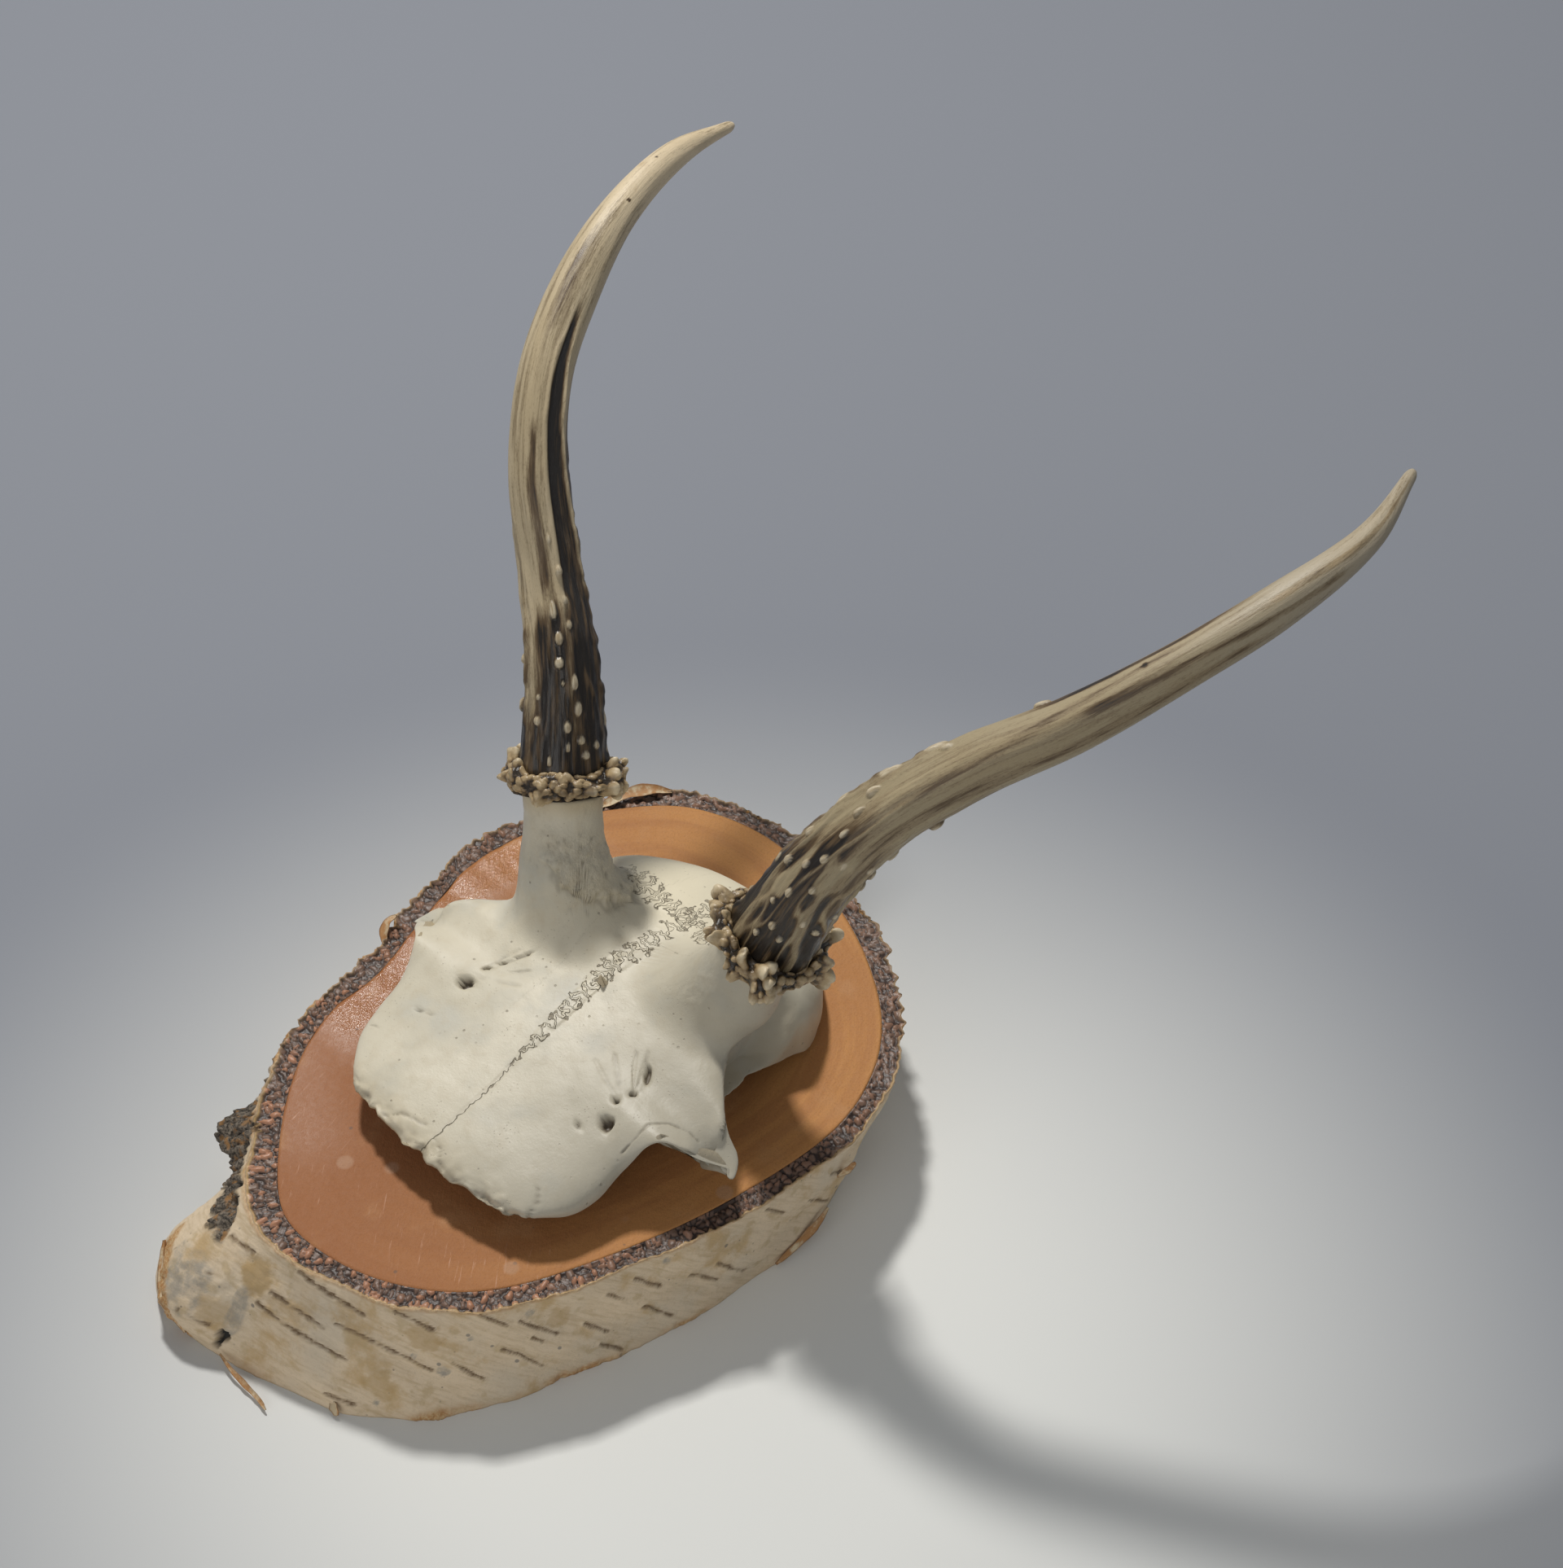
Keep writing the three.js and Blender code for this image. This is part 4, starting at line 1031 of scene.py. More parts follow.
def right_colouring(skin):
    """Right antler: black lower third, a long black stripe between two cream ridges and a brown streak beside
    it. Gives how dark the horn is, where it is ochre, and the relief of the stripe."""
    T, bend, band, spot, furrow = skin.T, skin.bend, skin.band, skin.spot, skin.furrow
    top = smooth(0.19, 0.13, T + 0.035 * skin.drawn_out(0.3, 2.4, 55) - 0.05 * np.cos(skin.Q - 0.7))
    stripe_middle = np.interp(T, [0.2, 0.35, 0.44, 0.53, 0.6], [54, 46, 39, 36, 34])
    stripe_half = np.interp(T, [0.2, 0.35, 0.48, 0.57], [26, 19, 14, 6])
    stripe = smooth(stripe_half + 5, stripe_half - 3, np.abs(bend(stripe_middle) + 6 * furrow))
    stripe = stripe * smooth(0.60, 0.55, T)
    beyond = smooth(60, 78, bend(0)) * smooth(135, 115, bend(0)) * smooth(0.62, 0.35, T) * 0.7
    brown = band([0.24, 0.30, 0.36, 0.41], [-8, -5, -12, -8], 9) * 0.62
    pale_left = smooth(-30, -52, bend(0)) * smooth(0.05, 0.13, T)
    smudge = 0.30 * band([0.58, 0.72], [-12, -2], 15, 0.05)
    smudge = np.maximum(smudge, 0.30 * band([0.44, 0.6], [-60, -50], 9, 0.06))
    dots = np.maximum(spot(0.757, 9, 0.5), 0.8 * spot(0.84, -26, 0.35))
    dark = np.max([top * (1 - 0.85 * pale_left), stripe, brown, beyond, smudge, dots], axis=0)
    wave = 3 * furrow + 4 * skin.lengthwise(4, 59)

    def cream_ridge(turn, half, first, last):
        """A thin ridge beside the stripe, as exp(-(distance / half)^2)."""
        ridge = np.exp(-((np.radians(bend(turn + wave)) * skin.radius / half) ** 2))
        return ridge * smooth(0.2, 0.26, T) * smooth(last, first, T)

    crest = cream_ridge(stripe_middle - stripe_half - 6, 0.6, 0.5, 0.62)
    second = cream_ridge(stripe_middle + stripe_half + 4, 0.35, 0.48, 0.56)
    relief = 0.35 * crest + 0.3 * second - 0.35 * stripe * smooth(0.16, 0.24, T)
    dark = dark * (1 - 0.25 * skin.crest_line) * (1 - 0.7 * second)
    ochre = 0.5 * np.maximum(spot(0.82, -20, 2.6), spot(0.78, 10, 2.0))
    return dark, ochre * smooth(-0.2, 0.5, cloud(skin.straight, 2.4, 60, 3)), relief


def left_colouring(skin):
    """Left antler: black patches between cream crests on the upper side of the lower third, olive-brown
    streaks, and painted shade on the side turned from the light. Gives how dark the horn is, where it is
    ochre, and no relief."""
    T, bend, band = skin.T, skin.bend, skin.band
    patches = smooth(-0.25, 0.08, skin.drawn_out(0.3, 2.6, 56) + 0.75 * smooth(0.2, 0.05, T))
    dark = np.max([
        patches * smooth(0.34, 0.16, T + 0.0014 * np.abs(bend(-15))) * 1.15,
        # Painted shade: darker on the side turned from the light, 40 to 75 degrees round from the front, fading
        # out towards the tip.
        0.5 * smooth(40, 75, bend(0)) * smooth(0.75, 0.25, T),
        0.5 * smooth(14, 34, bend(0)) * smooth(0.34, 0.2, T),
        0.7 * smooth(14, 5, np.abs(bend(-76) + 6 * skin.furrow)) * smooth(0.8, 0.66, T) * smooth(0.4, 0.5, T),
        0.42 * band([0.30, 0.42, 0.49, 0.57, 0.62], [-5, -11, -31, -42, -52], 9),
        0.45 * band([0.22, 0.41, 0.56, 0.68], [30, 44, 38, 40], 9),
        0.6 * band([0.54, 0.64, 0.73, 0.80], [-8, 2, 16, 25], 8),
        0.34 * band([0.71, 0.78, 0.91, 0.96], [-26, -19, -4, 0], 9),
    ], axis=0) * (1 - 0.75 * skin.crest_line)
    dark = np.maximum(dark, 0.85 * skin.spot(0.597, -51, 0.8))
    ochre = 0.5 * band([0.72, 0.78, 0.91], [-22, -19, -4], 9)
    return dark, ochre * smooth(-0.3, 0.3, skin.drawn_out(0.4, 2, 60)), 0.0


def build_antler(name, node, line, radii, pearls, side, material):
    """An antler: its skin pushed out in long furrows that fade towards the tip, low crests, beaded ridges and
    domed pearls."""
    skin = AntlerSkin(line, radii)
    T, furrow = skin.T, skin.furrow
    low = 1 - smooth(0.12, 0.5, T)
    fine = skin.drawn_out(0.25, 0.9, 52)
    relief = (0.12 + 0.34 * low) * furrow * smooth(1, 0.9, T) + 0.10 * low * fine
    relief += (0.25 if side < 0 else 0.5) * skin.crest_line * (0.6 + 0.6 * fine) + 1.1 * np.exp(-skin.S / 2.2)
    ridge_relief, ridge = antler_ridges(skin, side)
    relief, pearl = add_pearls(skin, relief + ridge_relief, pearls, 11 + side)
    dark, ochre, stripe_relief = right_colouring(skin) if side < 0 else left_colouring(skin)
    relief += stripe_relief
    rear = smooth(100, 130, np.abs(skin.bend(0))) * smooth(0.42, 0.2, T) * 0.8
    dark = np.max([dark, rear, ridge * 0.55 * smooth(0.5, 0.35, T)], axis=0)
    dark = dark - 0.35 * smooth(0.1, 0.6, furrow) * smooth(0.5, 0.1, T) - 0.1 * smooth(0.7, 1, T)
    P = skin.middle[:, None] + skin.spoke * (skin.radius + relief * smooth(1, 0.97, T))[..., None]
    marks = {
        "straight": skin.straight, "dark": np.clip(dark, -0.2, 1), "pearl": pearl, "rise": T, "ochre": ochre,
    }
    surface(name, P, material, node, poles=(0, -1), marks=marks)


def build_burr(name, node, line, side, material):
    """A burr: a torus round the antler's foot, pushed out in clusters of round beads with small buds."""
    around, across = 420, 104
    full = 2 * math.pi
    A, C = np.meshgrid(np.arange(around) / around * full, np.arange(across) / across * full, indexing="ij")
    tangent, front, sideways = (d[0] for d in antler_axes(line, np.array([0.0])))
    origin = np.array(line[0], float)
    spoke = np.cos(A)[..., None] * front + np.sin(A)[..., None] * sideways
    swell = cloud(np.stack([np.cos(A) * 5, np.sin(A) * 5, 0 * A + side], -1), 3.2, 61, 2)
    deep, tall = 2.3 + 0.9 * swell, 2.5 + 0.8 * swell
    normal = np.cos(C)[..., None] * spoke + np.sin(C)[..., None] * tangent
    core = origin + BURR_RING * spoke + (BURR_RISE + 0.6 * swell)[..., None] * tangent
    core = core + (deep * np.cos(C))[..., None] * spoke + (tall * np.sin(C))[..., None] * tangent
    local = core - origin
    warp = np.stack([cloud(local, 2.4, 62 + k, 2) for k in range(3)], -1)
    cluster = smooth(0.15, 0.9, blobs(local + warp * 0.9, 4.4, 66 + side))
    near, _, own = grains(local + warp * 0.45, 1.75, 70 + side)
    bead = np.sqrt(np.clip(1 - (near / 0.64) ** 2, 0, 1))
    near, _, _ = grains(local + warp * 0.3, 1.05, 74 + side)
    bud = np.sqrt(np.clip(1 - (near / 0.7) ** 2, 0, 1))
    outside = 0.3 + 0.7 * smooth(-0.75, 0.1, np.cos(C))
    height = 1.3 * cluster + (0.5 + 0.5 * cluster) * (1.45 * bead * (0.65 + 0.5 * own) + 0.25 * bud)
    height = height * (1.25 if side > 0 else 1.0)
    P = core + normal * (outside * height - 0.9)[..., None]
    crest = np.clip(bead * (0.42 + 0.45 * cluster) + 0.12 * bud * cluster, 0, 1.2)
    surface(name, P, material, node, wrap_rows=True, marks={"crest": crest})


# Birch slice.

def rim_point(turn, inset, level):
    """Place of the slice's rim at a turn from 0 to 1, moved inwards by inset, at a level from the back face
    (0) to the sawn face (1). The wall leans, so lower levels lie further towards the nose end."""
    point = spline(SLICE_RIM, turn % 1, "round")
    direction = along(SLICE_RIM, turn % 1, "round")
    lower = point + SLICE_LEAN * (1 - level)[..., None]
    inward = np.stack([-direction[..., 1], direction[..., 0]], -1)
    place = np.concatenate([lower, (level * SLICE_THICKNESS)[..., None]], -1)
    centre, radius, depth = WALL_PINCH
    pinch = depth / (1 + (np.linalg.norm(place - centre, axis=-1) / radius) ** 4)
    place[..., :2] += inward * (inset + pinch)[..., None]
    return place, inward


def bark_swelling(P):
    """How far the bark stands out at a place: a slow wave, the knot and the branch collar."""
    swelling = BARK_WAVE * np.sin(P[..., 0] * 0.31 + P[..., 2] * 0.4) * np.cos(P[..., 1] * 0.27)
    for centre, radius, height in BARK_SWELLINGS:
        swelling = swelling + height / (1 + (np.linalg.norm(P - centre, axis=-1) / radius) ** 4)
    return swelling


# Lenticels of the bark that faces the camera, each as a path on the wall.
LENTICELS = [
    [(-15.7, -54.8, 18.7), (-9.8, -54.6, 19.3)], [(-24.2, -60.4, 12.6), (-14.9, -60.2, 14.1)],
    [(1.8, -51.9, 20.8), (7.6, -50.5, 19.8), (12.9, -48.9, 18.4)],
    [(-0.1, -52.2, 21.1), (3.1, -51.5, 20.8)],
    [(-3.6, -56.2, 15.7), (2.0, -54.9, 14.9), (7.4, -53.6, 13.9)],
    [(-5.0, -58.2, 13.0), (2.9, -56.6, 11.7), (7.8, -55.0, 10.7), (12.6, -53.5, 9.6)],
    [(9.0, -52.2, 15.7), (13.2, -50.5, 15.0), (17.2, -48.7, 13.5), (20.9, -46.7, 11.9), (24.2, -44.6, 9.7)],
    [(17.5, -45.8, 21.2), (20.5, -44.2, 20.1), (23.3, -42.4, 18.4)],
    [(26.6, -41.7, 11.4), (30.1, -38.2, 6.9)],
    [(30.9, -34.1, 12.2), (32.7, -31.4, 9.3), (34.4, -28.7, 5.9)],
    [(32.0, -31.0, 18.5), (33.4, -28.3, 15.4), (34.9, -25.6, 12.4)],
    [(28.3, -36.3, 21.7), (31.2, -33.0, 18.4)], [(11.0, -57.8, 3.1), (16.1, -55.3, 2.0)],
    [(-22.2, -66.7, 7.1), (-16.4, -65.9, 8.0), (-11.4, -64.9, 7.2)],
    [(33.4, -29.5, 13.5), (34.2, -28.1, 11.9)], [(37.9, -16.4, 17.7), (39.0, -14.0, 15.3)],
    [(39.1, -11.1, 18.4), (40.9, -7.2, 14.3)], [(40.3, -10.6, 11.4), (41.5, -5.3, 4.5)],
    [(42.1, -1.2, 13.0), (43.0, 4.2, 7.2)], [(43.2, 4.3, 12.0), (43.8, 10.1, 5.3)],
    [(36.8, -20.6, 12.1), (38.3, -17.1, 8.1)], [(38.0, -18.8, 5.9), (39.2, -15.0, 1.6)],
    [(45.6, 24.0, 14.3), (43.8, 30.4, 6.8)], [(44.9, 14.5, 19.6), (45.1, 18.3, 15.5)],
    [(45.5, 29.5, 16.8), (43.7, 35.5, 10.8)],
]
# Small grey spots of the bark: place and size.
GREY_SPOTS = [
    ((41.1, -5.5, 19.8), 0.8), ((32.6, -29.1, 19.3), 0.9), ((25.7, -43.2, 9.4), 1.2),
    ((21.5, -46.1, 12.4), 0.6), ((27.7, -38.3, 16.0), 0.5), ((18.7, -52.9, 2.8), 0.6),
]

# Ochre stains of the bark: place, size, raggedness, strength.
BARK_STAINS = [
    ((-7, -56, 17), 3.4, 0.5, 1), ((18, -51, 6), 3, 0.6, 0.7), ((22, -44, 17), 3, 0.7, 0.7),
    ((-12, -62, 8), 4, 0.8, 0.5), ((34, -24, 16), 2.5, 0.6, 0.6),
]


def patch(P, centre, radius, ragged=0.4, seed=84):
    """1 in a ragged round patch of the bark, and 0 outside it."""
    d = np.linalg.norm(P - centre, axis=-1) / radius + ragged * cloud(P, radius * 0.45, seed, 3)
    return smooth(1.15, 0.8, d)


def trail(P, path, half, ragged=0.4, seed=97):
    """1 in a ragged strip along a path on the bark, and 0 outside it."""
    d = path_distance(P, np.array(path, float)) / half + ragged * cloud(P, half, seed, 3)
    return smooth(1.15, 0.8, d)


def lenticel_marks(P, inward, trunk):
    """Relief and mark of the lenticels: the listed ones, and random ones on the hidden side that run round
    the trunk."""
    relief, mark = np.zeros(P.shape[:2]), np.zeros(P.shape[:2])
    across_wall = np.concatenate([-inward, np.zeros_like(inward[..., :1])], -1)
    rng = np.random.default_rng(5)
    paths = list(LENTICELS)
    for _ in range(46):
        row, column = rng.integers(4, 56), rng.integers(0, P.shape[1])
        start = P[row, column]
        if start[1] < 5 or start[0] > 30:
            continue
        heading = unit(np.cross(trunk, across_wall[row, column]))
        paths.append([start, start + heading * rng.uniform(2.5, 9)])
    for path in paths:
        near = np.linalg.norm(P - (np.array(path[0]) + path[-1]) / 2, axis=-1) < 14
        pieces = zip(path[:-1], path[1:])
        d = np.min([wall_distance(P[near], across_wall[near], start, end) for start, end in pieces], axis=0)
        d = d + 0.34 * cloud(P[near], 1.5, 83, 3)
        mark[near] = np.maximum(mark[near], smooth(0.5, 0.1, d))
        relief[near] += 0.16 * smooth(1.1, 0.5, d) - 0.3 * smooth(0.35, 0.1, d)
    return relief, mark


def bark_weathering(P, level):
    """Relief of the bark's damage, and the marks that colour it: scaly bark round the knot and along the torn
    gap, grey and ochre stains, peeled paper, holes."""
    far_side = np.maximum(smooth(-30, -42, P[..., 0]), smooth(48, 60, P[..., 1]))
    torn = trail(P, [(-34, -41, 16), (-29, -45.5, 17.5), (-24, -49.5, 18.5), (-19.5, -53.5, 18)], 3.4, 0.6)
    top_left = smooth(0.9, 1.2, level + 0.2 * cloud(P, 4, 85)) * smooth(-40, -50, P[..., 0])
    scaly = np.max([
        patch(P, (-34.5, -39, 14), 8.2, 0.5), torn, patch(P, (-47, -22, 12), 9, 0.7) * 0.9, top_left * 0.5,
    ], axis=0)
    tape = trail(P, [(-8.2, -58.8, 13.5), (-8.0, -60.8, 10.4), (-8.2, -62.8, 7.0)], 1.5, 0.2)
    grey = np.maximum(patch(P, (-19.2, -63.8, 11.7), 5.2, 0.6) * 0.85, 0.8 * tape)
    for place, size in GREY_SPOTS:
        grey = np.maximum(grey, patch(P, place, size, 0.3))
    stain = 0.75 * np.max([strength * patch(P, *place) for *place, strength in BARK_STAINS], axis=0)
    peel = np.max([
        smooth(0.10, 0.02, level + 0.05 * cloud(P, 3, 88)) * smooth(-0.2, 0.5, cloud(P, 9, 89)),
        trail(P, [(-29, -59, 13), (-25.5, -63.5, 10), (-21.5, -67.3, 7.5), (-17, -67.5, 1.5)], 2.2, 0.7),
        smooth(0.965, 0.99, level) * 0.6,
        smooth(0.90, 0.98, level + 0.05 * cloud(P, 2, 99)) * far_side,
    ], axis=0)
    hole = np.max([
        patch(P, (-9.0, -64.3, 5.2), 1.3, 0.3), trail(P, [(-9, -64.3, 5), (-10.5, -66, 1)], 0.6, 0.5),
        patch(P, (-20.5, -51.2, 19.6), 1.5, 0.5), patch(P, (-24.5, -48.5, 19), 1.3, 0.5),
    ], axis=0)
    near, second, _ = grains(P * (1, 1, 0.6), 2.6, 86)
    plate_height = 2.4 * (1 - near) * smooth(0.02, 0.25, second - near)
    relief = scaly * (plate_height - 0.9 + 1.5 * cloud(P, 1.6, 87, 3))
    relief += 1.9 * patch(P, (-35.5, -39.5, 14.5), 5.2, 0.35)
    relief -= 1.5 * trail(P, [(-25, -48, 19.5), (-19.8, -52, 19.5)], 1.3, 0.5)
    relief += 1.2 * cloud(P, 1.3, 96, 3) * smooth(0.86, 0.99, level) * far_side
    relief += 0.2 * tape - 1.3 * hole + 0.8 * peel * cloud(P, 1.3, 90, 3)
    return relief, {"scaly": scaly, "grey": grey, "stain": stain, "peel": peel, "hole": hole}, far_side[-1]


def build_bark(material):
    """The bark: a closed profile (outer wall, sawn edge, inner wall, back) carried round the rim."""
    columns = 1160
    sample = np.linspace(0, 1, 4001)
    outline, _ = rim_point(sample, np.zeros_like(sample), np.ones_like(sample))
    steps = np.linalg.norm(np.diff(outline, axis=0), axis=1)
    finer_in_front = 1.0 + 0.9 * smooth(52, 38, outline[1:, 1])
    run = np.concatenate([[0], np.cumsum(steps * finer_in_front)])
    turn = np.interp(np.arange(columns) / columns * run[-1], run, sample)
    wall_turn, level = np.meshgrid(turn, np.linspace(0, 1, 60))
    plain, inward = rim_point(wall_turn, np.zeros_like(wall_turn), level)
    across_wall = np.concatenate([-inward, np.zeros_like(inward[..., :1])], -1)
    P = plain + across_wall * bark_swelling(plain)[..., None]
    trunk = unit(TRUNK_AXIS)
    trunk_place = np.concatenate([P[..., :2], (P @ trunk)[..., None]], -1)
    rise = 0.22 * cloud(P, 7, 81, 3) + 0.10 * cloud(trunk_place * (0.15, 0.15, 1), 1.3, 82, 3)
    lenticel_relief, lenticel = lenticel_marks(P, inward, trunk)
    damage_relief, damage, far_side = bark_weathering(P, level)
    wall = P + across_wall * (rise + lenticel_relief + damage_relief)[..., None]
    between_edges = smooth(0.02, 0.2, level) * smooth(0.98, 0.8, level)
    wall[..., 2] = np.clip(plain[..., 2] + 0.35 * cloud(P, 1.6, 91, 2) * between_edges, 0, SLICE_THICKNESS)

    # Sawn edge: granular inner bark from the papery rim to the wood.
    band_turn, band_inset = np.meshgrid(turn, np.linspace(0, BARK_THICKNESS, 17)[1:])
    share = band_inset / BARK_THICKNESS
    base, _ = rim_point(band_turn, np.full_like(band_turn, BARK_THICKNESS), np.ones_like(band_turn))
    band = wall[-1] * (1 - share[..., None]) + base * share[..., None]
    flat = band * (1, 1, 0)
    along_rim = np.interp(band_turn, sample, np.cumsum(np.concatenate([[0], steps])))
    radial = np.stack([along_rim, band_inset * 0.92, 0 * band_inset], -1)
    radial = radial + 0.5 * np.stack([cloud(flat, 1.6, 94, 2), cloud(flat, 1.6, 95, 2), 0 * share], -1)
    near, second, own = grains(radial, 1.25, 92)
    grain = np.sqrt(np.clip(1 - near**2, 0, 1)) * smooth(0.0, 0.22, second - near)
    lumps = grain * (0.3 + 0.85 * own)
    inside = smooth(0.0, 0.2, share) * smooth(1.0, 0.88, share)
    band[..., 2] = SLICE_THICKNESS - 0.1 + inside * (0.85 * lumps - 0.6 + 0.3 * cloud(flat, 3, 93, 2))
    inner_turn, inner_level = np.meshgrid(turn, [0.92, 0.5, 0.0])
    inner_wall, _ = rim_point(inner_turn, np.full_like(inner_turn, BARK_THICKNESS), inner_level)
    back_share = np.array([0.75, 0.35])[:, None, None]
    back = inner_wall[-1] * back_share + wall[0] * (1 - back_share)
    grid = np.concatenate([wall, band, inner_wall, back])

    def placed(values, start=0):
        """A mark on some rows of the grid, and 0 on the others."""
        out = np.zeros(grid.shape[:2])
        out[start:start + len(values)] = values
        return out

    walls = len(wall)
    towards_nose = 1 - 0.7 * smooth(-20, 10, flat[..., 1] + 0.2 * flat[..., 0])
    sawn = placed(np.ones(band.shape[:2]), walls)
    sawn[walls + len(band):] = 0.6
    marks = {
        "trunk_place": np.concatenate([trunk_place, grid[walls:]]), "lenticel": placed(lenticel),
        "sawn": sawn, "grain": placed(np.clip(lumps * 1.6, 0, 1), walls),
        "pink": placed(smooth(0.5, 0.85, own) * towards_nose, walls),
        "ochre": placed(smooth(0.15, 0.06, share) * (1 - 0.8 * far_side), walls),
    }
    marks.update({name: placed(values) for name, values in damage.items()})
    surface("birch_bark_ring", grid, material, "birch_bark", wrap_rows=True, marks=marks)


def build_wood(material):
    """The varnished wood: rings from the middle to the bark on the sawn face, and back under it."""
    columns = 720
    turn = np.arange(columns) / columns
    inset = np.full(columns, BARK_THICKNESS + 0.02)
    top_edge, _ = rim_point(turn, inset, np.ones(columns))
    low_edge, _ = rim_point(turn, inset, np.zeros(columns))
    middle = np.array([-4.0, 16.0, SLICE_THICKNESS])
    rho = np.linspace(0.01, 1, 110)[:, None, None]
    top = middle + (top_edge - middle) * rho
    share = rho[..., 0] * np.ones(columns)
    x, y = top[..., 0], top[..., 1]
    planed = smooth(0.70, 0.88, share) * smooth(-18, -32, x) * smooth(-24, -10, y) * smooth(56, 44, y)
    waves = cloud(np.stack([x * 0.3, y, 0 * x], -1), 4.6, 103, 2)
    top[..., 2] += 0.12 * cloud(top, 16, 101, 2) + 0.02 * cloud(top, 1.5, 102, 2)
    top[..., 2] += (0.03 + 0.30 * planed) * waves
    top[..., 2] -= 0.08 * smooth(0.985, 1, share)
    sides = top_edge + (low_edge - top_edge) * np.array([0.05, 0.95, 1.0])[:, None, None]
    low_middle = middle + [SLICE_LEAN[0], SLICE_LEAN[1], -SLICE_THICKNESS]
    back = low_middle + (low_edge - low_middle) * np.array([0.96, 0.8, 0.5, 0.2, 0.02])[:, None, None]
    grid = np.concatenate([top, sides, back])
    ring_place = grid.copy()
    ring_place[..., 2] = 0

    def near_path(path, half):
        """1 on a path across the face and less beside it, as exp(-(distance / half)^2)."""
        return np.exp(-((path_distance(grid[..., :2], np.array(path, float)) / half) ** 2))

    # Where the stroke scratches are painted paler, partly as painted glints, and made glossier.
    slanted = near_path([(-46, 0), (-42, -14), (-33, -27), (-22, -33)], 8)
    slanted = np.maximum(slanted, near_path([(-50, 8), (-54, 30), (-51, 46)], 7))
    upright = near_path([(-22, -36), (-8, -38), (12, -36), (25, -31), (37, -19)], 8)
    ring_place[:len(top), :, 2] = share * 48
    smoother = np.zeros(grid.shape[:2])
    smoother[:len(top)] = planed
    marks = {
        "planed": smoother, "ring_place": ring_place, "slanted_strokes": slanted, "upright_strokes": upright,
    }
    surface("birch_wood_face", grid, material, "birch_wood", poles=(0, -1), marks=marks)


def build_flake(name, path, width, facing, material, thickness=0.22):
    """A loose curl of bark paper: a thin oval profile carried along a path, narrow and ragged at its ends."""
    t = np.linspace(0, 1, 40)
    line = spline(np.array(path, float), t, "straight")
    heading = unit(np.gradient(line, axis=0))
    facing = np.asarray(facing, float)
    up = unit(facing - (heading @ facing)[:, None] * heading)
    across = np.cross(heading, up)
    angle = np.arange(16) / 16 * 2 * math.pi
    place = np.stack([t * 20, t * 0, t * 0 + len(name)], -1)
    half = width / 2 * (np.sin(math.pi * np.clip(t, 0.03, 0.97)) ** 0.45) * (1 + 0.3 * cloud(place, 3, 111, 3))
    a = np.cos(angle)[None, :, None] * (half[:, None, None] * across[:, None])
    cup = 0.18 * width * (np.cos(angle)[None, :, None] ** 2) * up[:, None]
    b = np.sin(angle)[None, :, None] * (thickness / 2) * up[:, None]
    P = line[:, None] + a + b + cup
    P = P + 0.12 * cloud(P, 1.5, 112, 2)[..., None] * up[:, None]
    edge = np.broadcast_to(smooth(0.75, 1, np.abs(np.cos(angle))), P.shape[:2])
    surface(name, P, material, None, poles=(0, -1), marks={"edge": edge})


def build_flakes(material):
    """The curls that stand off the bark: name, width, the way its hollow faces, and path."""
    curls = [
        ("bark_curl_left", 2.3, (-0.3, -0.5, 0.8),
         [(-47.8, 6.0, 21.0), (-49.2, 7.0, 22.0), (-50.2, 8.6, 22.9), (-50.3, 10.8, 23.2)]),
        ("bark_curl_right", 1.6, (0.7, 0.3, 0.5),
         [(44.6, 32.0, 13.0), (45.6, 33.6, 14.4), (45.9, 35.2, 15.4)]),
        ("bark_flap_right", 1.8, (0.9, -0.3, 0.3),
         [(44.4, 30.0, 5.6), (44.9, 26.5, 4.4), (44.8, 22.0, 2.8), (44.4, 17.0, 1.2)]),
        ("bark_curl_corner", 1.1, (0.2, -0.7, 0.7),
         [(-8.5, -65.4, 1.8), (-4.5, -65.9, 1.5), (-0.5, -66.0, 1.2),
          (3.0, -66.1, 1.0), (5.5, -66.5, 0.8)]),
        ("bark_chip_front", 1.7, (0.3, -0.8, 0.5),
         [(12.2, -57.4, 1.6), (13.6, -58.0, 1.2), (15.0, -58.3, 0.8)]),
        ("bark_strip_rear", 2.6, (0.2, 0, 1),
         [(-39.5, 70.6, 21.6), (-42.0, 67.4, 22.7), (-44.4, 62.6, 22.8), (-45.8, 58.0, 21.9)]),
        ("bark_torn_lobe", 2.4, (-0.5, -0.7, 0.6),
         [(-29.0, -60.4, 10.0), (-26.0, -63.6, 8.0), (-20.6, -67.2, 6.9), (-15.8, -67.0, 2.6)]),
    ]
    for name, width, facing, path in curls:
        build_flake(name, path, width, facing, material)


# Floor, light and camera.

# Lamps: name, place in metres, size in metres, watts, colour.
LAMPS = [
    ("key_light", (-0.475, 0.28, 0.9), 0.10, 7.8, (1.0, 0.985, 0.955)),
    ("fill_light", (0.28, -0.88, 0.38), 0.8, 2.5, (1.0, 0.975, 0.94)),
    ("rim_light", (0.78, 0.78, 0.7), 0.3, 0.35, (0.96, 0.98, 1.0)),
]
LAMP_TARGET = (0.0, 0.02, 0.03)
FLOOR_REACH = 4000
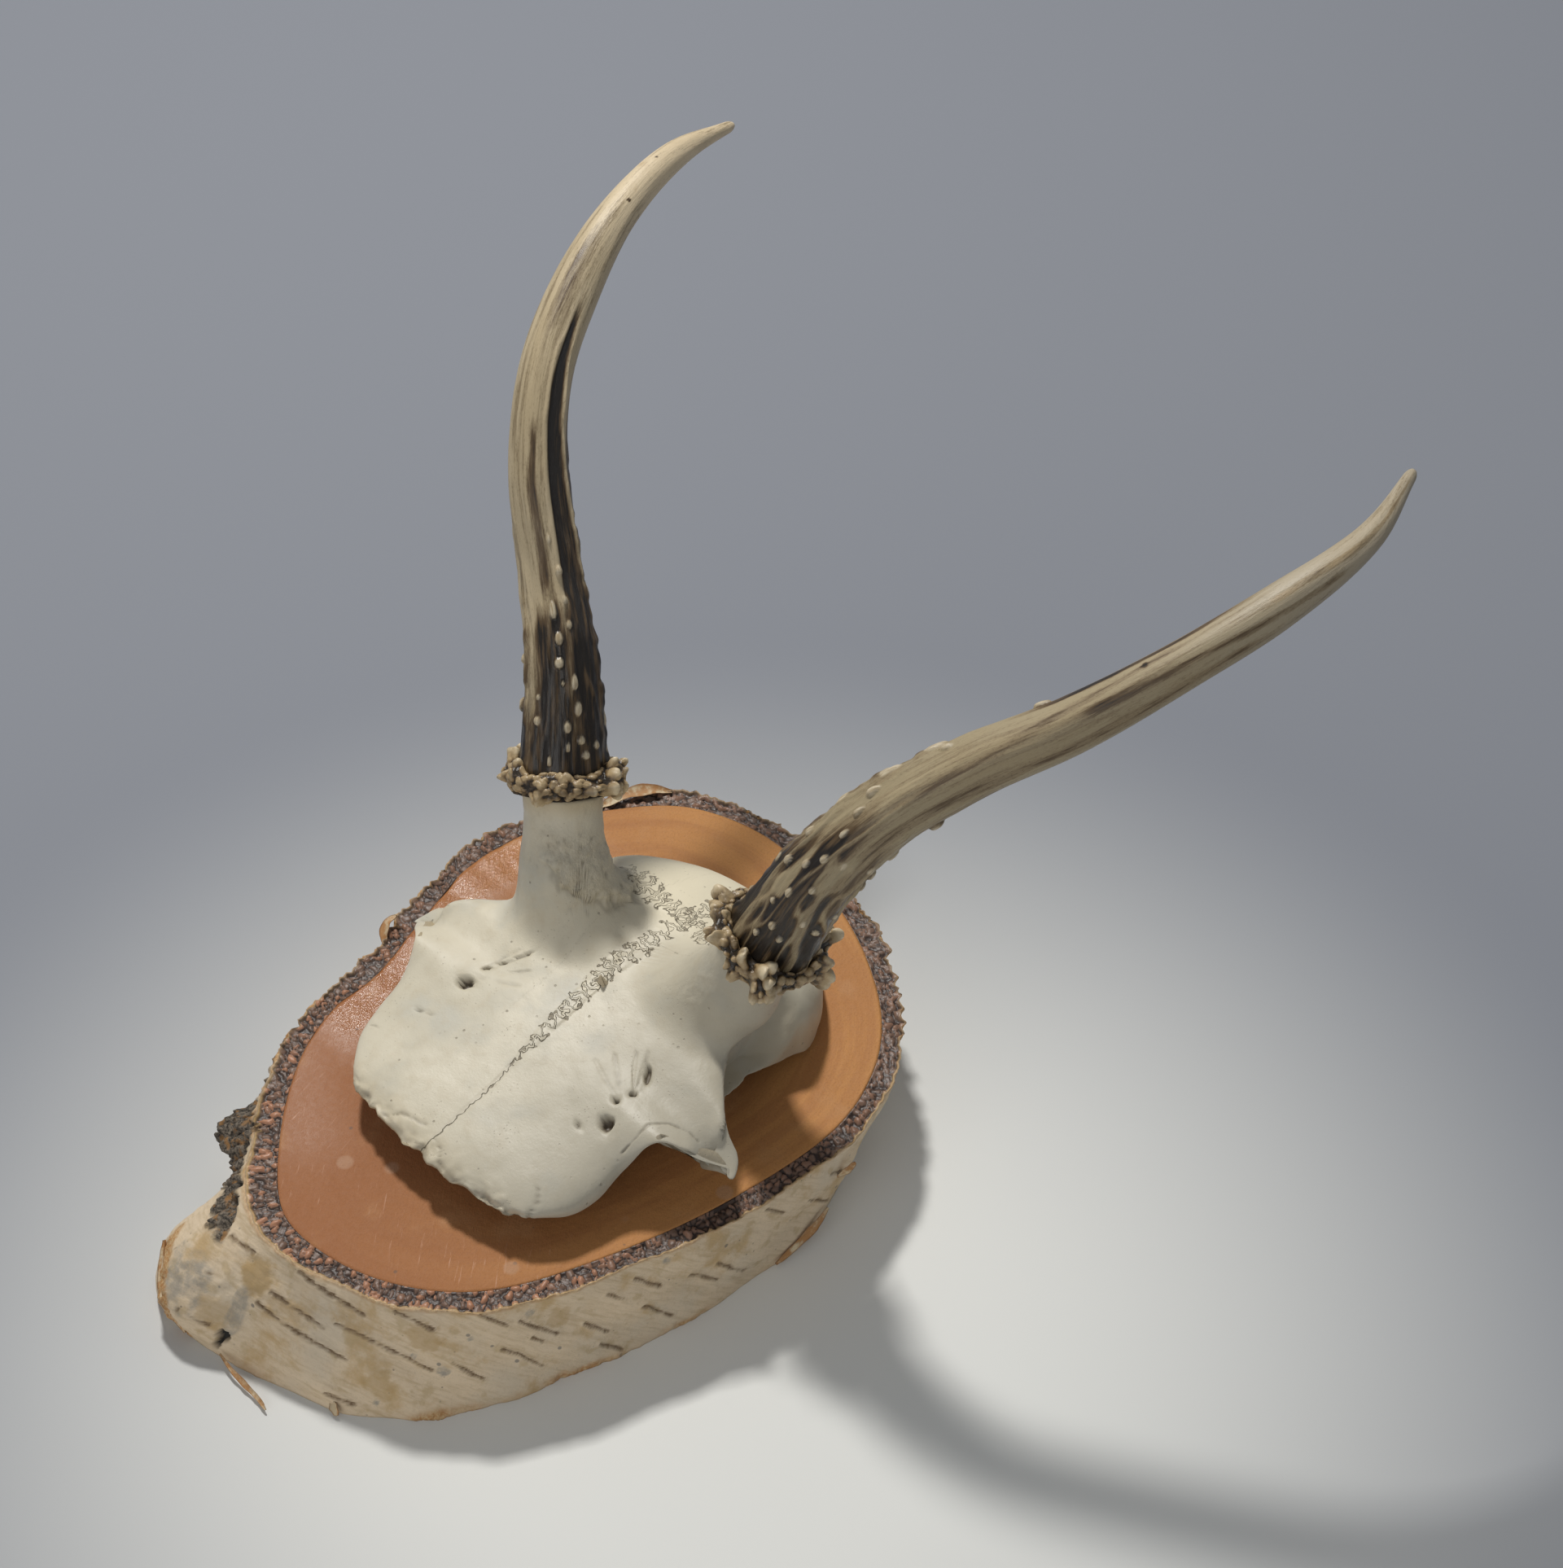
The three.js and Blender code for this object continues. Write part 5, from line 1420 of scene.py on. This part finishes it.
# Painted light: the floor's colour runs from a bright pool round a point in front of the slice to grey beyond
# it, in millimetres.
FLOOR_PAINTED_LIT, FLOOR_PAINTED_DIM = (0.80, 0.80, 0.765), (0.245, 0.258, 0.29)
FLOOR_PAINTED_LIGHT_CENTRE = (55, -5, 0)
FLOOR_PAINTED_LIGHT_START, FLOOR_PAINTED_LIGHT_END = 35, 192
CAMERA_ELEVATION, CAMERA_AZIMUTH, CAMERA_DISTANCE = math.radians(45.0), math.radians(45.7), 0.581
CAMERA_TARGET = (0.0012, 0.0607, 0.060)
CAMERA_LENS = 75


def build_floor():
    """A pale floor with a painted pool of light: brightest in front of the slice and greyer away from it."""
    corners = np.array([(-1, -1, 0), (1, -1, 0), (1, 1, 0), (-1, 1, 0)], float) * FLOOR_REACH * METRES
    mesh = bpy.data.meshes.new("studio_floor")
    mesh.from_pydata(corners.tolist(), [], [(0, 1, 2, 3)])
    f = Finish("floor_with_painted_light")
    distance = f.node("ShaderNodeVectorMath", {0: f.mm, 1: FLOOR_PAINTED_LIGHT_CENTRE}, operation="DISTANCE").outputs["Value"]
    color = f.mix(f.grade(distance, FLOOR_PAINTED_LIGHT_START, FLOOR_PAINTED_LIGHT_END), FLOOR_PAINTED_LIT, FLOOR_PAINTED_DIM)
    mesh.materials.append(f.done(color, 0.7, specular=0.2))
    floor = bpy.data.objects.new("studio_floor", mesh)
    bpy.context.scene.collection.objects.link(floor)


def build_light(name, position, size, power, color):
    """A square soft light at a position in metres, turned towards the object."""
    data = bpy.data.lights.new(name, "AREA")
    data.size = size
    data.energy = power
    data.color = color
    light = bpy.data.objects.new(name, data)
    bpy.context.scene.collection.objects.link(light)
    direction = Vector(LAMP_TARGET) - Vector(position)
    light.location = position
    light.rotation_euler = direction.to_track_quat("-Z", "Y").to_euler()


def build_camera():
    """The camera of the photograph: 45 degrees up, 45.7 degrees round, with a 75 mm lens."""
    level = math.cos(CAMERA_ELEVATION)
    right = Vector((math.cos(CAMERA_AZIMUTH), math.sin(CAMERA_AZIMUTH), 0))
    back = Vector((right.y * level, -right.x * level, math.sin(CAMERA_ELEVATION)))
    up = back.cross(right)
    data = bpy.data.cameras.new("camera")
    data.lens = CAMERA_LENS
    data.sensor_width = 36
    data.clip_start = 0.01
    camera = bpy.data.objects.new("camera", data)
    facing = Matrix((right, up, back)).transposed().to_4x4()
    camera.matrix_world = Matrix.Translation(Vector(CAMERA_TARGET) + back * CAMERA_DISTANCE) @ facing
    bpy.context.scene.collection.objects.link(camera)
    bpy.context.scene.camera = camera


build_camera()
build_skull(bone_finish())
left_horn = antler_finish("antler_left_horn", (0.39, 0.315, 0.19), (0.455, 0.385, 0.275))
right_horn = antler_finish("antler_right_horn", (0.56, 0.455, 0.29), (0.74, 0.60, 0.40))
burr = burr_finish()
build_antler("antler_left_beam", "antler_left", LEFT_LINE, LEFT_RADII, LEFT_PEARLS, 1, left_horn)
build_burr("antler_left_beam_burr", "antler_left", LEFT_LINE, 1, burr)
build_antler("antler_right_beam", "antler_right", RIGHT_LINE, RIGHT_RADII, RIGHT_PEARLS, -1, right_horn)
build_burr("antler_right_beam_burr", "antler_right", RIGHT_LINE, -1, burr)
build_bark(bark_finish())
build_wood(wood_finish())
build_flakes(flake_finish())
build_floor()
for lamp in LAMPS:
    build_light(*lamp)

world = bpy.data.worlds.new("studio")
world.use_nodes = True
background = world.node_tree.nodes["Background"]
background.inputs["Color"].default_value = (0.88, 0.93, 1.0, 1)
background.inputs["Strength"].default_value = 0.225
bpy.context.scene.world = world
bpy.context.scene.view_settings.view_transform = "Standard"
